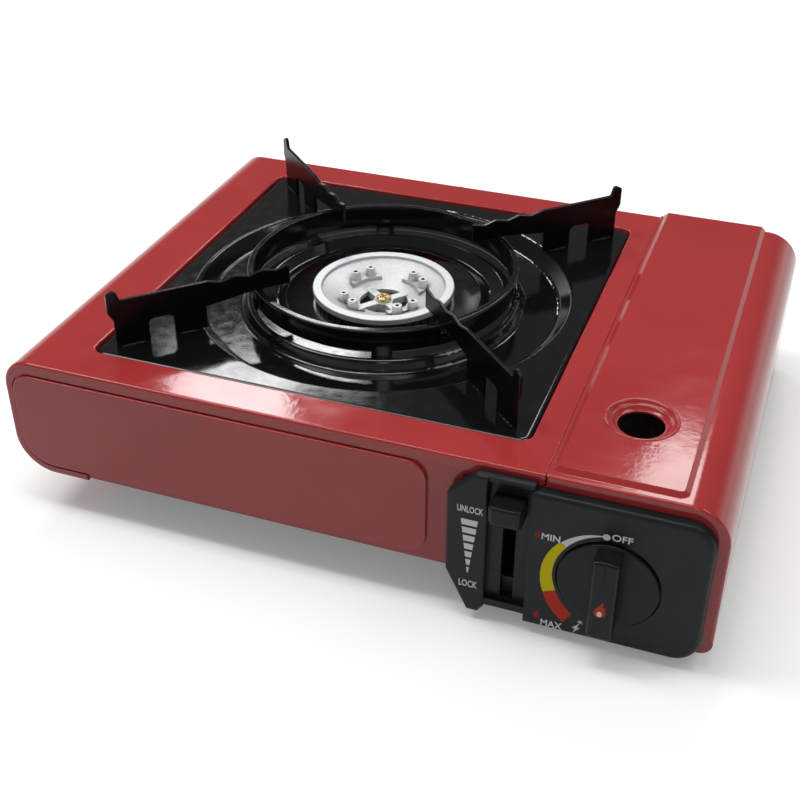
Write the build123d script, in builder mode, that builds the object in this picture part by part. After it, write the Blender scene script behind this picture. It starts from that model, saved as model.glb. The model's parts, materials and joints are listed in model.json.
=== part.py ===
from build123d import *
import os
from math import atan, atan2, cos, degrees, hypot, radians, sin

os.makedirs("parts", exist_ok=True)

# Casing
foot_height = 9.0  # canister tray above the table
casing_rise = 74.0  # casing's top above the tray's underside
casing_height = 63.0  # from the lip's underside to the top face
sheet = 1.0  # steel sheet of casing, plates and lid
top_radius = 14.5
floor_radius = 20.0
crease_radius = 1.6
lip_width = 38.0  # how far the casing folds in under the stove
side_flange = 4.0
top_flange = 6.0
lid_width = 77.4
seam_gap = 0.3

# General gaps
overrun = 2.0  # extra length of every cut
slip = 0.4  # gap beside pieces that move
close_fit = 0.05  # radial clearance of pins and shafts
plate_gap = 0.2  # gap round plates set inside the casing
quarter_turn_angle = 90.0

# Drip pan and the casing's opening for it
recess_radius = 97.0
pan_side_border = 10.65  # from the round recess to the opening's sides
pan_end_border = 11.1  # from the round recess to the opening's front and back
opening_left_margin = 36.85
opening_right_margin = 12.15
opening_front_margin = 20.75
opening_back_margin = 22.55
opening_radius = 6.0
opening_edge_radius = 0.8
ledge_width = 6.0
pan_drop = 6.0  # ledge below the casing's top
pan_gap = 0.6
pan_sink = 1.0  # pan's flat top below the casing's top
pan_sheet = 1.0
pan_rim_radius = 2.2
pan_bend = 2.6
recess_lap = 3.0
valley_drop = 7.0
ridge_drop_share = 0.143
pan_hole_share = 0.5186
pan_profile_shares = [
    (0.938, 1),
    (0.7485, 1),
    (0.7216, 0.143),
    (0.64, 0.143),
    (0.567, 0.657),
    (0.5186, 0.457),
]

# Pot support
ring_place_share = 0.696
ring_sheet = 1.2
ring_height = 15.5
ring_window = 3.5
ring_leg_width = 10.0
ring_leg_angle = 20.0
ring_leg_count = 4
ring_lip_width = 3.0
ring_lip_height = 2.2
ring_lip_radius = 0.8
arm_sheet = 1.8
arm_corner_gap = 10.1  # from the opening's corner to the arm's tip
arm_foot_inset = 2.5
arm_inner_lap = 16.5  # how far the arms reach inside the ring
arm_height = 29.8
arm_back_height = 24.8  # straight top edge above the pan
arm_tooth_lap = 1.8
arm_tooth_count = 3
arm_tooth_depth = 1.7
outer_leg_width = 16.5
leg_notch_width = 12.5
inner_leg_width = 16.2
leg_height = 11.4
arm_radius = 1.6
arm_tip_radius = 1.3
leg_notch_radius = 2.8
arm_edge = 0.4
arm_tip_width = 6.5
arm_tip_step_share = 0.63
arm_neck_share = 0.47
arm_tip_crown_share = 0.55

# Burner
burner_rise = 0.5  # burner rim above the casing's top
burner_radius = 36.6
burner_rim_width = 4.6
burner_rim_height = 3.0
burner_rim_edge = 0.5
head_height = 10.0  # burner head's wall, rim included
dish_depth = 9.7  # dished floor's low edge below the rim
dish_edge_drop = 1.7  # dished floor's high edge below the rim
dish_floor = 2.0
cup_wall = 1.2
port_wall = 2.0
port_inset = 1.2
port_count = 48
port_width = 1.2
port_height = 4.2
spider_radius = 12.5
spoke_width = 4.2
spoke_height = 4.0
spider_rise = 0.7  # spokes above the dished floor's low edge
hub_radius = 5.0
hub_height = 5.0
post_pair_count = 4
post_ring_radius = 21.6
post_spread_angle = 12.2
post_pair_angle = 51.5
post_radius = 3.2
post_top_radius = 2.4
post_top_drop = 0.8
post_bore = 1.0
post_bore_depth = 3.0
pad_width = 3.4
pad_rise = 0.9  # pads above the dish at the posts
pad_spread_angle = 23.0
centre_screw_radius = 2.0
centre_screw_head = 3.8
centre_screw_head_height = 2.2
centre_screw_length = 14.0
screw_slot_width = 0.9
screw_slot_share = 0.4
base_flange_height = 2.5
flare_height = 9.0
chamber_radius = 16.0
chamber_wall = 3.0
chamber_floor_gap = 10.0  # chamber's underside below the gas tube's axis
base_post_radius = 4.0

# Gas path
tube_drop = 31.0  # gas tube's axis below the casing's top
tube_radius = 8.0
tube_wall = 1.0
tube_lap = 11.0  # how far the tube goes into the burner base's stub
stub_reach = 15.0  # stub's end beyond the chamber's side
stub_wall = 1.2
jet_gap = 3.0
jet_radius = 3.2
jet_length = 8.0
jet_bore = 0.6
boss_radius = 5.5
boss_length = 9.0
regulator_left_reach = 18.8  # regulator's sides from the valve stem
regulator_right_reach = 23.2
regulator_depth = 36.0
regulator_low_reach = 14.0
regulator_high_reach = 22.0
regulator_radius = 4.0
outlet_set_back = 26.0
ear_width = 6.0
ear_height = 12.0
ear_thickness = 2.5
canister_offset = 5.7  # seat's axis right of and above the valve stem
canister_lift = 8.0
seat_radius = 12.0
seat_length = 8.0
seat_bore = 2.2
seal_radius = 5.5
seal_length = 1.5
key_width = 4.0
key_height = 2.0
key_lap = 8.0
key_reach = 10.0

# Partition, tray and base
partition_gap = 1.3  # partition's right face left of the seam
tray_wall_height = 23.0
tray_right_height = 21.0
tray_pivot_gap = 4.0
base_flange = 10.0
base_flange_gap = 8.0
base_slot_count = 6
base_slot_length = 30.0
base_slot_width = 4.0
base_slot_pitch = 14.0
left_foot_inset = 59.0
foot_inset = 42.0
foot_radius = 11.0
foot_tip_radius = 9.0
foot_edge = 1.0

# Lid
lid_rise = 0.4
lid_radius = 18.0
lid_lap = 0.4  # lid's front end ahead of the casing's front
lid_overhang = 0.8  # lid's back end behind the casing's back
lid_flange = 5.5
plateau_rise = 2.0
plateau_run = 2.2
plateau_left_inset = 3.6
plateau_right_inset = 21.8
plateau_front_inset = 5.7
plateau_radius = 4.0
finger_inset = 29.6  # hole's centre from the lid's left edge
finger_set_back = 50.7  # hole's centre behind the casing's front
finger_radius = 10.5
finger_dish_radius = 16.0
finger_dish_drop = 3.0
dish_slope_share = 0.35
pivot_radius = 2.0
pivot_ear = 6.0
pivot_head_radius = 3.2
pivot_head_height = 1.5
pivot_plate_radius = 4.2
catch_width = 16.0
catch_height = 20.0
catch_sheet = 0.6
catch_nose = 0.5
catch_drop = 5.0

# Front and back plates
emboss_left_inset = 4.6
emboss_panel_gap = 11.0
emboss_high_inset = 7.0
emboss_low_inset = 5.5
emboss_proud = 1.0
emboss_radius = 10.0
emboss_edge = 0.7
vent_count = 9
vent_pitch = 18.0
vent_width = 4.0
vent_height = 26.0

# Control panel
panel_right_inset = 5.0
panel_proud = 6.0
panel_edge = 1.1
dial_plate_edge = 2.6
scale_plate_drop = 3.0  # plates' top edges below the casing's top
scale_plate_width = 18.0
scale_plate_height = 75.5
dial_plate_drop = 5.5
dial_plate_lap = 3.8  # dial plate's left edge past the seam
dial_plate_radius = 12.0
recess_width = 18.5
recess_low_inset = 8.2
recess_bar = 2.0
recess_foot_inset = 4.5
recess_floor_proud = 2.0
plinth_left_inset = 5.0
plinth_right_inset = 10.0
plinth_low_inset = 7.5
plinth_high_inset = 3.5
scale_plate_shares = [(0, 0.84), (0.7, 1), (1, 1), (1, 0.05), (0.85, 0), (0.57, 0), (0, 0.28)]

# Knob and valve stem
knob_offset = 7.5  # knob's axis left of the lid's middle
knob_drop = 45.0
knob_radius = 21.8
knob_gap = 0.8
knob_sink = 2.0
knob_proud = 1.5
knob_edge = 0.8
grip_width = 11.0
grip_height = 10.5
grip_edge = 1.6
stem_radius = 3.0
stem_socket = 8.0
stem_bore_depth = 14.0
stem_pass = 0.6

# Lock lever and canister clamp
lever_width = 14.4
lever_drop = 11.8
lever_height = 10.4
lever_proud = 14.0  # lever's crest in front of the casing's front
lever_edge = 1.2
lever_side_radius = 2.6
lever_low_set_back = 1.8  # lever's lower edge behind its face
lever_chin_share = 0.24
lever_travel = 40.0
lever_slot_width = 5.8
lever_slot_margin = 1.0
lever_slot_low_margin = 8.8
stem_width = 4.0
stem_height = 8.0
keeper_width = 12.0
keeper_thickness = 2.0
arm_width = 3.0
arm_depth = 22.0
pin_radius = 1.5
pin_set_back = 20.0
cam_gap = 2.0  # between the lever's arm and the cam plate
cam_sheet = 1.5
cam_margin = 5.0
pin_lift = 1.25  # follower pin above the lever's middle
clamp_travel = 6.0
tongue_gap = 2.0  # tongue above the tray's left wall
tongue_sheet = 1.5
tongue_margin = 1.5
carriage_sheet = 1.2
carriage_right_gap = 5.0
carriage_front = 60.0
carriage_back = 12.0
pusher_inset = 6.6
pusher_height = 40.0

# Ignition
igniter_inset = 4.0
igniter_width = 12.0
igniter_set_back = 8.0
igniter_depth = 32.0
igniter_height = 12.0
electrode_angle = 110.0
electrode_radius = 0.8
electrode_gap = 6.85  # electrode's axis outside the burner
electrode_drop = 5.0  # electrode's tip below the burner's rim
electrode_length = 27.5
electrode_bend = 5.0
insulator_radius = 3.0
insulator_length = 17.0
insulator_gap = 2.0  # insulator's top below the burner base's flange
electrode_bracket_drop = 8.0  # bracket below the insulator's top
electrode_bracket_width = 9.0
electrode_bracket_lap = 5.0
bracket_sheet = 1.2
lead_radius = 1.2
lead_set_back = 37.0
lead_side_gap = 18.0
lead_bend = 14.0
lead_end_bend = 6.0
lead_hole = 2.6

# Burner bracket and fasteners
bridge_length = 40.0
bridge_width = 28.0
bridge_foot = 12.0
screw_radius = 1.5
screw_gap = 0.1
screw_head_radius = 2.9
screw_head_height = 2.0
panel_screw_depth = 3.6
back_screw_head_height = 0.8
back_screw_length = 5.0

# Casing, opening and lid worked out from the sizes above
opening_width = 2 * (recess_radius + pan_side_border)
opening_depth = 2 * (recess_radius + pan_end_border)
casing_width = opening_left_margin + opening_width + opening_right_margin + seam_gap + lid_width
casing_depth = opening_front_margin + opening_depth + opening_back_margin
casing_top = foot_height + casing_rise
casing_floor = casing_top - casing_height
casing_left = -casing_width / 2
casing_right = casing_width / 2
lid_left = casing_right - lid_width
seam_x = lid_left - seam_gap
front_reach = panel_proud + knob_proud + grip_height
back_reach = max(lid_overhang, back_screw_head_height)
middle_y = (front_reach - back_reach) / 2
front_y = middle_y - casing_depth / 2
back_y = middle_y + casing_depth / 2
plate_front_y = front_y + sheet
inner_front_y = plate_front_y + sheet
inner_back_y = back_y - 2 * sheet
burner_x = casing_left + opening_left_margin + opening_width / 2
burner_y = front_y + opening_front_margin + opening_depth / 2
burner_axis = Axis((burner_x, burner_y, 0), (0, 0, 1))
ledge_z = casing_top - pan_drop
pan_top = casing_top - pan_sink
floor_plate_z = casing_floor + sheet
partition_x = seam_x - partition_gap - sheet
tray_floor = foot_height
tray_left = partition_x + sheet
pivot_x = casing_right - pivot_ear
pivot_height = tray_floor + pivot_plate_radius
tray_right = pivot_x - tray_pivot_gap
lid_top = casing_top + lid_rise
lid_front_y = front_y - lid_lap
lid_back_y = back_y + lid_overhang
lid_depth = lid_back_y - lid_front_y
finger_x = lid_left + finger_inset
finger_y = front_y + finger_set_back
plate_top = casing_top - sheet - plate_gap
plate_right = pivot_x + pivot_plate_radius

# Control panel, knob, lever and regulator places
panel_face_y = front_y - panel_proud
panel_back_y = lid_front_y - slip
panel_thickness = panel_back_y - panel_face_y
panel_right = casing_right - panel_right_inset
dial_plate_left = seam_x - dial_plate_lap
dial_plate_top = casing_top - dial_plate_drop
recess_left = dial_plate_left - recess_width
panel_left = recess_left - scale_plate_width
scale_plate_top = casing_top - scale_plate_drop
panel_low = scale_plate_top - scale_plate_height
recess_low = panel_low + recess_low_inset
recess_foot = panel_low + recess_foot_inset
plinth_left = panel_left + plinth_left_inset
plinth_right = panel_right - plinth_right_inset
plinth_low = panel_low + plinth_low_inset
plinth_high = dial_plate_top - plinth_high_inset
knob_x = (lid_left + casing_right) / 2 - knob_offset
knob_height = casing_top - knob_drop
lever_x = recess_left + recess_width / 2
lever_top = casing_top - lever_drop
regulator_left = knob_x - regulator_left_reach
regulator_right = knob_x + regulator_right_reach
regulator_low = knob_height - regulator_low_reach
regulator_high = knob_height + regulator_high_reach
canister_x = knob_x + canister_offset
canister_height = knob_height + canister_lift
tube_height = casing_top - tube_drop
chamber_bottom = tube_height - chamber_floor_gap
tongue_height = tray_floor + tray_wall_height + tongue_gap

# Pan and pot support places
ring_radius = recess_radius * ring_place_share
pan_hole_radius = recess_radius * pan_hole_share
ridge_z = pan_top - valley_drop * ridge_drop_share
arm_reach = hypot(opening_width, opening_depth) / 2 - arm_corner_gap
arm_foot_reach = arm_reach - arm_foot_inset
outer_leg_reach = arm_foot_reach - outer_leg_width
inner_leg_outer_reach = outer_leg_reach - leg_notch_width
inner_leg_reach = inner_leg_outer_reach - inner_leg_width
arm_tooth_start = inner_leg_reach - arm_tooth_lap
arm_inner_reach = ring_radius - arm_inner_lap
arm_angle = degrees(atan2(opening_depth, opening_width))
arm_angles = {
    "back_right": arm_angle,
    "back_left": 2 * quarter_turn_angle - arm_angle,
    "front_left": 2 * quarter_turn_angle + arm_angle,
    "front_right": -arm_angle,
}
electrode_ring_radius = burner_radius + electrode_gap


def front_plane(y):
    """Upright plane at y that faces the front, with X to the right and Z up."""
    return Plane(origin=(0, y, 0), x_dir=(1, 0, 0), z_dir=(0, -1, 0))


def burner_plane(z):
    """Level plane at height z with its origin on the burner's axis."""
    return Plane(origin=(burner_x, burner_y, z))


def radial_plane(angle):
    """Upright plane through the burner's axis: local X runs outwards at angle, local Y is up."""
    turn = radians(angle)
    outward = (cos(turn), sin(turn), 0)
    return Plane(origin=(burner_x, burner_y, 0), x_dir=outward, z_dir=(sin(turn), -cos(turn), 0))


def box_between(left, right, low, high):
    """Rectangle in the open sketch between two pairs of edges."""
    with Locations(((left + right) / 2, (low + high) / 2)):
        Rectangle(right - left, high - low)


def left_rounded_box(left, right, low, high, low_radius, high_radius):
    """Rectangle in the open sketch whose two left corners are rounded."""
    box_between(left, right, low, high)
    fillet(vertices().group_by(Axis.X)[0].sort_by(Axis.Y)[0], radius=low_radius)
    fillet(vertices().group_by(Axis.X)[0].sort_by(Axis.Y)[-1], radius=high_radius)


def solid_box(left, right, near, far, low, high):
    """Box between three pairs of faces, joined to the open part."""
    with Locations(((left + right) / 2, (near + far) / 2, (low + high) / 2)):
        Box(right - left, far - near, high - low)


def screw(place, into, head_height, length):
    """Flat-headed screw: its head stands on place, its shank runs the way of into."""
    seat = Plane(origin=place, z_dir=into)
    with BuildPart() as body:
        with BuildSketch(seat):
            Circle(screw_head_radius)
        extrude(amount=-head_height)
        with BuildSketch(seat):
            Circle(screw_radius)
        extrude(amount=length)
    return body.part


# Main casing: one sheet that wraps the top and the left side, folded in at its edges
opening_place = (burner_x, burner_y)
with BuildPart() as main_casing:
    with BuildSketch(front_plane(back_y)):
        left_rounded_box(casing_left, seam_x, casing_floor, casing_top, floor_radius, top_radius)
    extrude(amount=casing_depth)
    end_faces = main_casing.faces().filter_by(Axis.Y)
    fillet(end_faces.edges().filter_by(lambda edge: edge.center().X < seam_x), radius=crease_radius)
    with BuildSketch(front_plane(back_y - sheet)):
        left_rounded_box(
            casing_left + sheet,
            seam_x - sheet,
            casing_floor + sheet,
            casing_top - sheet,
            floor_radius - sheet,
            top_radius - sheet,
        )
    extrude(amount=casing_depth - 2 * sheet, mode=Mode.SUBTRACT)
    with BuildSketch(front_plane(back_y + overrun)):
        left_rounded_box(
            casing_left + side_flange,
            seam_x + overrun,
            casing_floor + side_flange,
            casing_top - top_flange,
            floor_radius - side_flange,
            top_radius - side_flange,
        )
        box_between(
            casing_left + lip_width, seam_x + overrun, casing_floor - overrun, casing_floor + floor_radius
        )
    extrude(amount=casing_depth + 2 * overrun, mode=Mode.SUBTRACT)
    with BuildSketch(Plane.XY.offset(ledge_z - sheet)):
        with Locations(opening_place):
            RectangleRounded(opening_width + 2 * sheet, opening_depth + 2 * sheet, opening_radius + sheet)
    extrude(amount=pan_drop + sheet / 2)
    with BuildSketch(Plane.XY.offset(ledge_z)):
        with Locations(opening_place):
            RectangleRounded(opening_width, opening_depth, opening_radius)
    extrude(amount=pan_drop + overrun, mode=Mode.SUBTRACT)
    with BuildSketch(Plane.XY.offset(ledge_z - sheet - overrun)):
        with Locations(opening_place):
            RectangleRounded(
                opening_width - 2 * ledge_width, opening_depth - 2 * ledge_width, opening_radius
            )
    extrude(amount=pan_drop + overrun, mode=Mode.SUBTRACT)
    top_edges = main_casing.edges().filter_by_position(Axis.Z, casing_top, casing_top)
    opening_edges = top_edges.filter_by_position(
        Axis.X, burner_x - opening_width / 2, burner_x + opening_width / 2
    ).filter_by_position(Axis.Y, burner_y - opening_depth / 2, burner_y + opening_depth / 2)
    fillet(opening_edges, radius=opening_edge_radius)
    for screw_x in (casing_left + lip_width, burner_x, seam_x - lip_width):
        with BuildSketch(front_plane(back_y + overrun)):
            with Locations((screw_x, casing_top - top_flange / 2 - sheet / 2)):
                Circle(screw_radius + screw_gap)
        extrude(amount=sheet + 2 * overrun, mode=Mode.SUBTRACT)
main_casing.part.label = "main_casing"
export_step(main_casing.part, "parts/main_casing.step")

back_screw_places = []
for screw_x in (casing_left + lip_width, burner_x, seam_x - lip_width):
    back_screw_places.append((screw_x, back_y, casing_top - top_flange / 2 - sheet / 2))


def plate_outline():
    """Outline of the front and back plates in the open sketch."""
    left_rounded_box(
        casing_left + sheet + plate_gap,
        plinth_left + overrun,
        floor_plate_z + sheet,
        plate_top,
        floor_radius - 2 * sheet,
        top_radius - sheet - plate_gap,
    )


def right_plate_outline():
    """Right part of the plates, which reaches down to the canister tray."""
    box_between(plinth_left, plate_right, pivot_height - pivot_plate_radius, plate_top)
    right_corners = vertices().group_by(Axis.X)[-1].sort_by(Axis.Y)
    fillet(right_corners[-1], radius=lid_radius - sheet - plate_gap)
    fillet(vertices().group_by(Axis.X)[-1].sort_by(Axis.Y)[0], radius=pivot_plate_radius)


# Notch in both plates for the folds of casing and lid at the seam, slanted the way the lid opens
notch_low = casing_top - top_flange - slip
notch_left = seam_x - sheet - plate_gap
notch_right = lid_left + sheet + slip
notch_high = plate_top + overrun
notch_points = [
    (notch_left, notch_low),
    (notch_right, notch_low),
    (notch_right + notch_high - notch_low, notch_high),
    (notch_left, notch_high),
]


# Front plate with its embossed panel
emboss_right = panel_left - emboss_panel_gap
slot_top = lever_top - lever_height / 2 + stem_height / 2 + lever_slot_margin
slot_low = lever_top - lever_height / 2 - stem_height / 2 - lever_travel - lever_slot_low_margin
panel_screw_places = []
for screw_x in (plinth_left + screw_head_radius, plinth_right - screw_head_radius):
    for screw_z in (plinth_low + 2 * screw_head_radius, plinth_high - 2 * screw_head_radius):
        panel_screw_places.append((screw_x, screw_z))
regulator_screw_places = []
for screw_x in (regulator_left - ear_width / 2, regulator_right + ear_width / 2):
    regulator_screw_places.append((screw_x, knob_height))
with BuildPart() as front_plate:
    with BuildSketch(front_plane(inner_front_y)):
        plate_outline()
    extrude(amount=sheet)
    with BuildSketch(front_plane(inner_front_y)):
        right_plate_outline()
    extrude(amount=sheet)
    with BuildSketch(front_plane(inner_front_y)) as emboss:
        left_rounded_box(
            casing_left + emboss_left_inset,
            emboss_right,
            casing_floor + emboss_low_inset,
            casing_top - emboss_high_inset,
            floor_radius - emboss_left_inset,
            top_radius - emboss_left_inset,
        )
        fillet(emboss.vertices().group_by(Axis.X)[-1], radius=emboss_radius)
    extrude(amount=2 * sheet + emboss_proud)
    emboss_face = front_plate.faces().sort_by(Axis.Y)[0]
    fillet(emboss_face.edges(), radius=emboss_edge)
    with BuildSketch(front_plane(inner_front_y + overrun)) as pocket:
        left_rounded_box(
            casing_left + emboss_left_inset + sheet,
            emboss_right - sheet,
            casing_floor + emboss_low_inset + sheet,
            casing_top - emboss_high_inset - sheet,
            floor_radius - emboss_left_inset - sheet,
            top_radius - emboss_left_inset - sheet,
        )
        fillet(pocket.vertices().group_by(Axis.X)[-1], radius=emboss_radius - sheet)
    extrude(amount=sheet + emboss_proud + overrun, mode=Mode.SUBTRACT)
    with BuildSketch(front_plane(inner_front_y + overrun)):
        with Locations((lever_x, (slot_top + slot_low) / 2)):
            Rectangle(lever_slot_width, slot_top - slot_low)
        with Locations((knob_x, knob_height)):
            Circle(stem_radius + stem_pass)
        with Locations((pivot_x, pivot_height)):
            Circle(pivot_radius + close_fit)
        with Locations(*panel_screw_places, *regulator_screw_places):
            Circle(screw_radius + screw_gap)
        with BuildLine():
            Polyline(*notch_points, close=True)
        make_face()
    extrude(amount=sheet + 2 * overrun, mode=Mode.SUBTRACT)
front_plate.part.label = "front_plate"
export_step(front_plate.part, "parts/front_plate.step")

# Back plate with its vent slots
with BuildPart() as back_plate:
    with BuildSketch(front_plane(inner_back_y + sheet)):
        plate_outline()
    extrude(amount=sheet)
    with BuildSketch(front_plane(inner_back_y + sheet)):
        right_plate_outline()
    extrude(amount=sheet)
    with BuildSketch(front_plane(inner_back_y + sheet + overrun)):
        with Locations((burner_x, casing_floor + casing_height / 2)):
            with GridLocations(vent_pitch, vent_pitch, vent_count, 1):
                SlotOverall(vent_height, vent_width, rotation=quarter_turn_angle)
        with Locations((pivot_x, pivot_height)):
            Circle(pivot_radius + close_fit)
        with Locations(*[(place[0], place[2]) for place in back_screw_places]):
            Circle(screw_radius + screw_gap)
        with BuildLine():
            Polyline(*notch_points, close=True)
        make_face()
    extrude(amount=sheet + 2 * overrun, mode=Mode.SUBTRACT)
back_plate.part.label = "back_plate"
export_step(back_plate.part, "parts/back_plate.step")

with BuildPart() as back_plate_screws:
    for place in back_screw_places:
        add(screw(place, (0, -1, 0), back_screw_head_height, back_screw_length))
back_plate_screws.part.label = "back_plate_screws"
export_step(back_plate_screws.part, "parts/back_plate_screws.step")

# Base plate under the burner bay, with turned-up front and back edges and air slots
base_left = casing_left + floor_radius
bracket_screw_places = []
for side in (-1, 1):
    bracket_screw_places.append((burner_x + side * (bridge_length + bridge_foot) / 2, burner_y))
with BuildPart() as base_plate:
    solid_box(base_left, partition_x, inner_front_y, inner_back_y, floor_plate_z, floor_plate_z + sheet)
    for near in (inner_front_y, inner_back_y - sheet):
        solid_box(
            base_left,
            panel_left - base_flange_gap,
            near,
            near + sheet,
            floor_plate_z,
            floor_plate_z + sheet + base_flange,
        )
    with BuildSketch(Plane.XY.offset(floor_plate_z - overrun)):
        for side in (-1, 1):
            with Locations((burner_x, burner_y + side * (bridge_width + base_slot_length))):
                with GridLocations(base_slot_pitch, base_slot_pitch, base_slot_count, 1):
                    SlotOverall(base_slot_length, base_slot_width, rotation=quarter_turn_angle)
        with Locations(*bracket_screw_places):
            Circle(screw_radius + screw_gap)
    extrude(amount=sheet + 2 * overrun, mode=Mode.SUBTRACT)
base_plate.part.label = "base_plate"
export_step(base_plate.part, "parts/base_plate.step")

# Gas tube axis, from the burner to the regulator's outlet
outlet = Vector(regulator_left, inner_front_y + outlet_set_back, tube_height)
tube_origin = Vector(burner_x, burner_y, tube_height)
tube_way = (outlet - tube_origin).normalized()
tube_span = (outlet - tube_origin).length


def tube_plane(distance):
    """Plane across the gas tube's axis at a distance from the burner's axis."""
    return Plane(origin=tube_origin + tube_way * distance, z_dir=tube_way)


# Partition between the burner bay and the canister bay
pin_y = inner_front_y + pin_set_back
pin_z = lever_top - lever_height / 2 + pin_lift
cam_near = pin_y - cam_margin
cam_far = pin_y + clamp_travel + cam_margin
lead_y = inner_front_y + lead_set_back
lead_height = regulator_high + igniter_height / 2
with BuildPart() as partition:
    solid_box(partition_x, tray_left, inner_front_y, inner_back_y, floor_plate_z, plate_top - sheet)
    with BuildSketch(tube_plane(chamber_radius)):
        Circle(tube_radius + 2 * slip)
    extrude(amount=tube_span, mode=Mode.SUBTRACT)
    with BuildSketch(Plane.YZ.offset(partition_x - overrun)):
        box_between(
            cam_near - clamp_travel - slip,
            cam_far + slip,
            tongue_height - slip,
            tongue_height + tongue_sheet + slip,
        )
        with Locations((lead_y, lead_height)):
            Circle(lead_hole)
    extrude(amount=sheet + 2 * overrun, mode=Mode.SUBTRACT)
partition.part.label = "partition"
export_step(partition.part, "parts/partition.step")

# Canister tray: a channel below the lid
with BuildPart() as canister_tray:
    solid_box(tray_left, tray_right, inner_front_y, inner_back_y, tray_floor, tray_floor + sheet)
    for wall_left, wall_height in ((tray_left, tray_wall_height), (tray_right - sheet, tray_right_height)):
        solid_box(
            wall_left, wall_left + sheet, inner_front_y, inner_back_y, tray_floor, tray_floor + wall_height
        )
canister_tray.part.label = "canister_tray"
export_step(canister_tray.part, "parts/canister_tray.step")


def foot(x, y, height):
    """Tapered rubber foot that stands on the table."""
    with BuildPart() as body:
        with BuildSketch(Plane(origin=(x, y, 0))):
            Circle(foot_tip_radius)
        with BuildSketch(Plane(origin=(x, y, height))):
            Circle(foot_radius)
        loft()
        fillet(body.faces().sort_by(Axis.Z)[0].edges(), radius=foot_edge)
    return body.part


foot_rows = (front_y + foot_inset, back_y - foot_inset)
with BuildPart() as left_feet:
    for row in foot_rows:
        add(foot(casing_left + left_foot_inset, row, floor_plate_z))
left_feet.part.label = "left_feet"
export_step(left_feet.part, "parts/left_feet.step")

with BuildPart() as right_feet:
    for row in foot_rows:
        add(foot((tray_left + tray_right) / 2, row, tray_floor))
right_feet.part.label = "right_feet"
export_step(right_feet.part, "parts/right_feet.step")

# Canister lid: top with a raised field, rounded right side, folded ends with pivot ears
plateau_left = lid_left + plateau_left_inset
plateau_right = casing_right - plateau_right_inset
plateau_front = front_y + plateau_front_inset
plateau_taper = degrees(atan(plateau_run / plateau_rise))
finger_place = (finger_x, finger_y)
plateau_top = lid_top + plateau_rise
with BuildPart() as canister_lid:
    with BuildSketch(front_plane(lid_back_y)) as shell:
        box_between(lid_left, casing_right, pivot_height, lid_top)
        fillet(shell.vertices().group_by(Axis.X)[-1].sort_by(Axis.Y)[-1], radius=lid_radius)
    extrude(amount=lid_depth)
    end_edges = canister_lid.faces().filter_by(Axis.Y).edges()
    lid_creases = end_edges.filter_by(lambda edge: edge.center().X > lid_left)
    lid_creases = lid_creases.filter_by(lambda edge: edge.center().Z > pivot_height)
    fillet(lid_creases, radius=crease_radius)
    with BuildSketch(front_plane(lid_back_y - sheet)) as hollow:
        box_between(lid_left + sheet, casing_right - sheet, pivot_height - overrun, lid_top - sheet)
        fillet(hollow.vertices().group_by(Axis.X)[-1].sort_by(Axis.Y)[-1], radius=lid_radius - sheet)
    extrude(amount=lid_depth - 2 * sheet, mode=Mode.SUBTRACT)
    with BuildSketch(front_plane(lid_back_y + overrun)) as window:
        box_between(
            lid_left - overrun, casing_right - lid_flange, pivot_height - overrun, lid_top - top_flange
        )
        fillet(window.vertices().group_by(Axis.X)[-1].sort_by(Axis.Y)[-1], radius=lid_radius - top_flange)
    extrude(amount=lid_depth + 2 * overrun, mode=Mode.SUBTRACT)
    for back_face_y in (lid_front_y + sheet, lid_back_y):
        with BuildSketch(front_plane(back_face_y)):
            with Locations((pivot_x, pivot_height)):
                Circle(pivot_ear)
        extrude(amount=sheet)
    for level, mode, back_end in (
        (lid_top, Mode.ADD, lid_back_y),
        (lid_top - sheet, Mode.SUBTRACT, lid_back_y - sheet),
    ):
        with BuildSketch(Plane.XY.offset(level)) as field:
            box_between(
                plateau_left - plateau_run,
                plateau_right + plateau_run,
                plateau_front - plateau_run,
                back_end + plateau_run,
            )
            fillet(field.vertices().group_by(Axis.Y)[0], radius=plateau_radius)
        extrude(amount=plateau_rise, taper=plateau_taper, mode=mode)
    with BuildSketch(front_plane(lid_back_y + plateau_run + overrun)):
        box_between(lid_left, casing_right, lid_top - overrun, plateau_top + overrun)
    extrude(amount=plateau_run + overrun, mode=Mode.SUBTRACT)
    with BuildSketch(Plane.XY.offset(lid_top - sheet - overrun)):
        with Locations(finger_place):
            Circle(finger_dish_radius - sheet)
    extrude(amount=plateau_rise + sheet + 2 * overrun, mode=Mode.SUBTRACT)
    dish_plane = Plane(origin=(finger_x, finger_y, 0), x_dir=(1, 0, 0), z_dir=(0, -1, 0))
    dish_run = finger_dish_radius - finger_radius
    dish_line = [
        (finger_dish_radius, plateau_top),
        (finger_radius + dish_run * dish_slope_share, plateau_top - finger_dish_drop),
        (finger_radius, plateau_top - finger_dish_drop),
    ]
    with BuildSketch(dish_plane):
        with BuildLine():
            Polyline(*dish_line, *[(r, z - sheet) for r, z in reversed(dish_line)], close=True)
        make_face()
    revolve(axis=Axis((finger_x, finger_y, 0), (0, 0, 1)))
    with BuildSketch(front_plane(lid_back_y + overrun)):
        with Locations((pivot_x, pivot_height)):
            Circle(pivot_radius + close_fit)
    extrude(amount=lid_depth + 2 * overrun, mode=Mode.SUBTRACT)
canister_lid.part.label = "canister_lid"
export_step(canister_lid.part, "parts/canister_lid.step")

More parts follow.
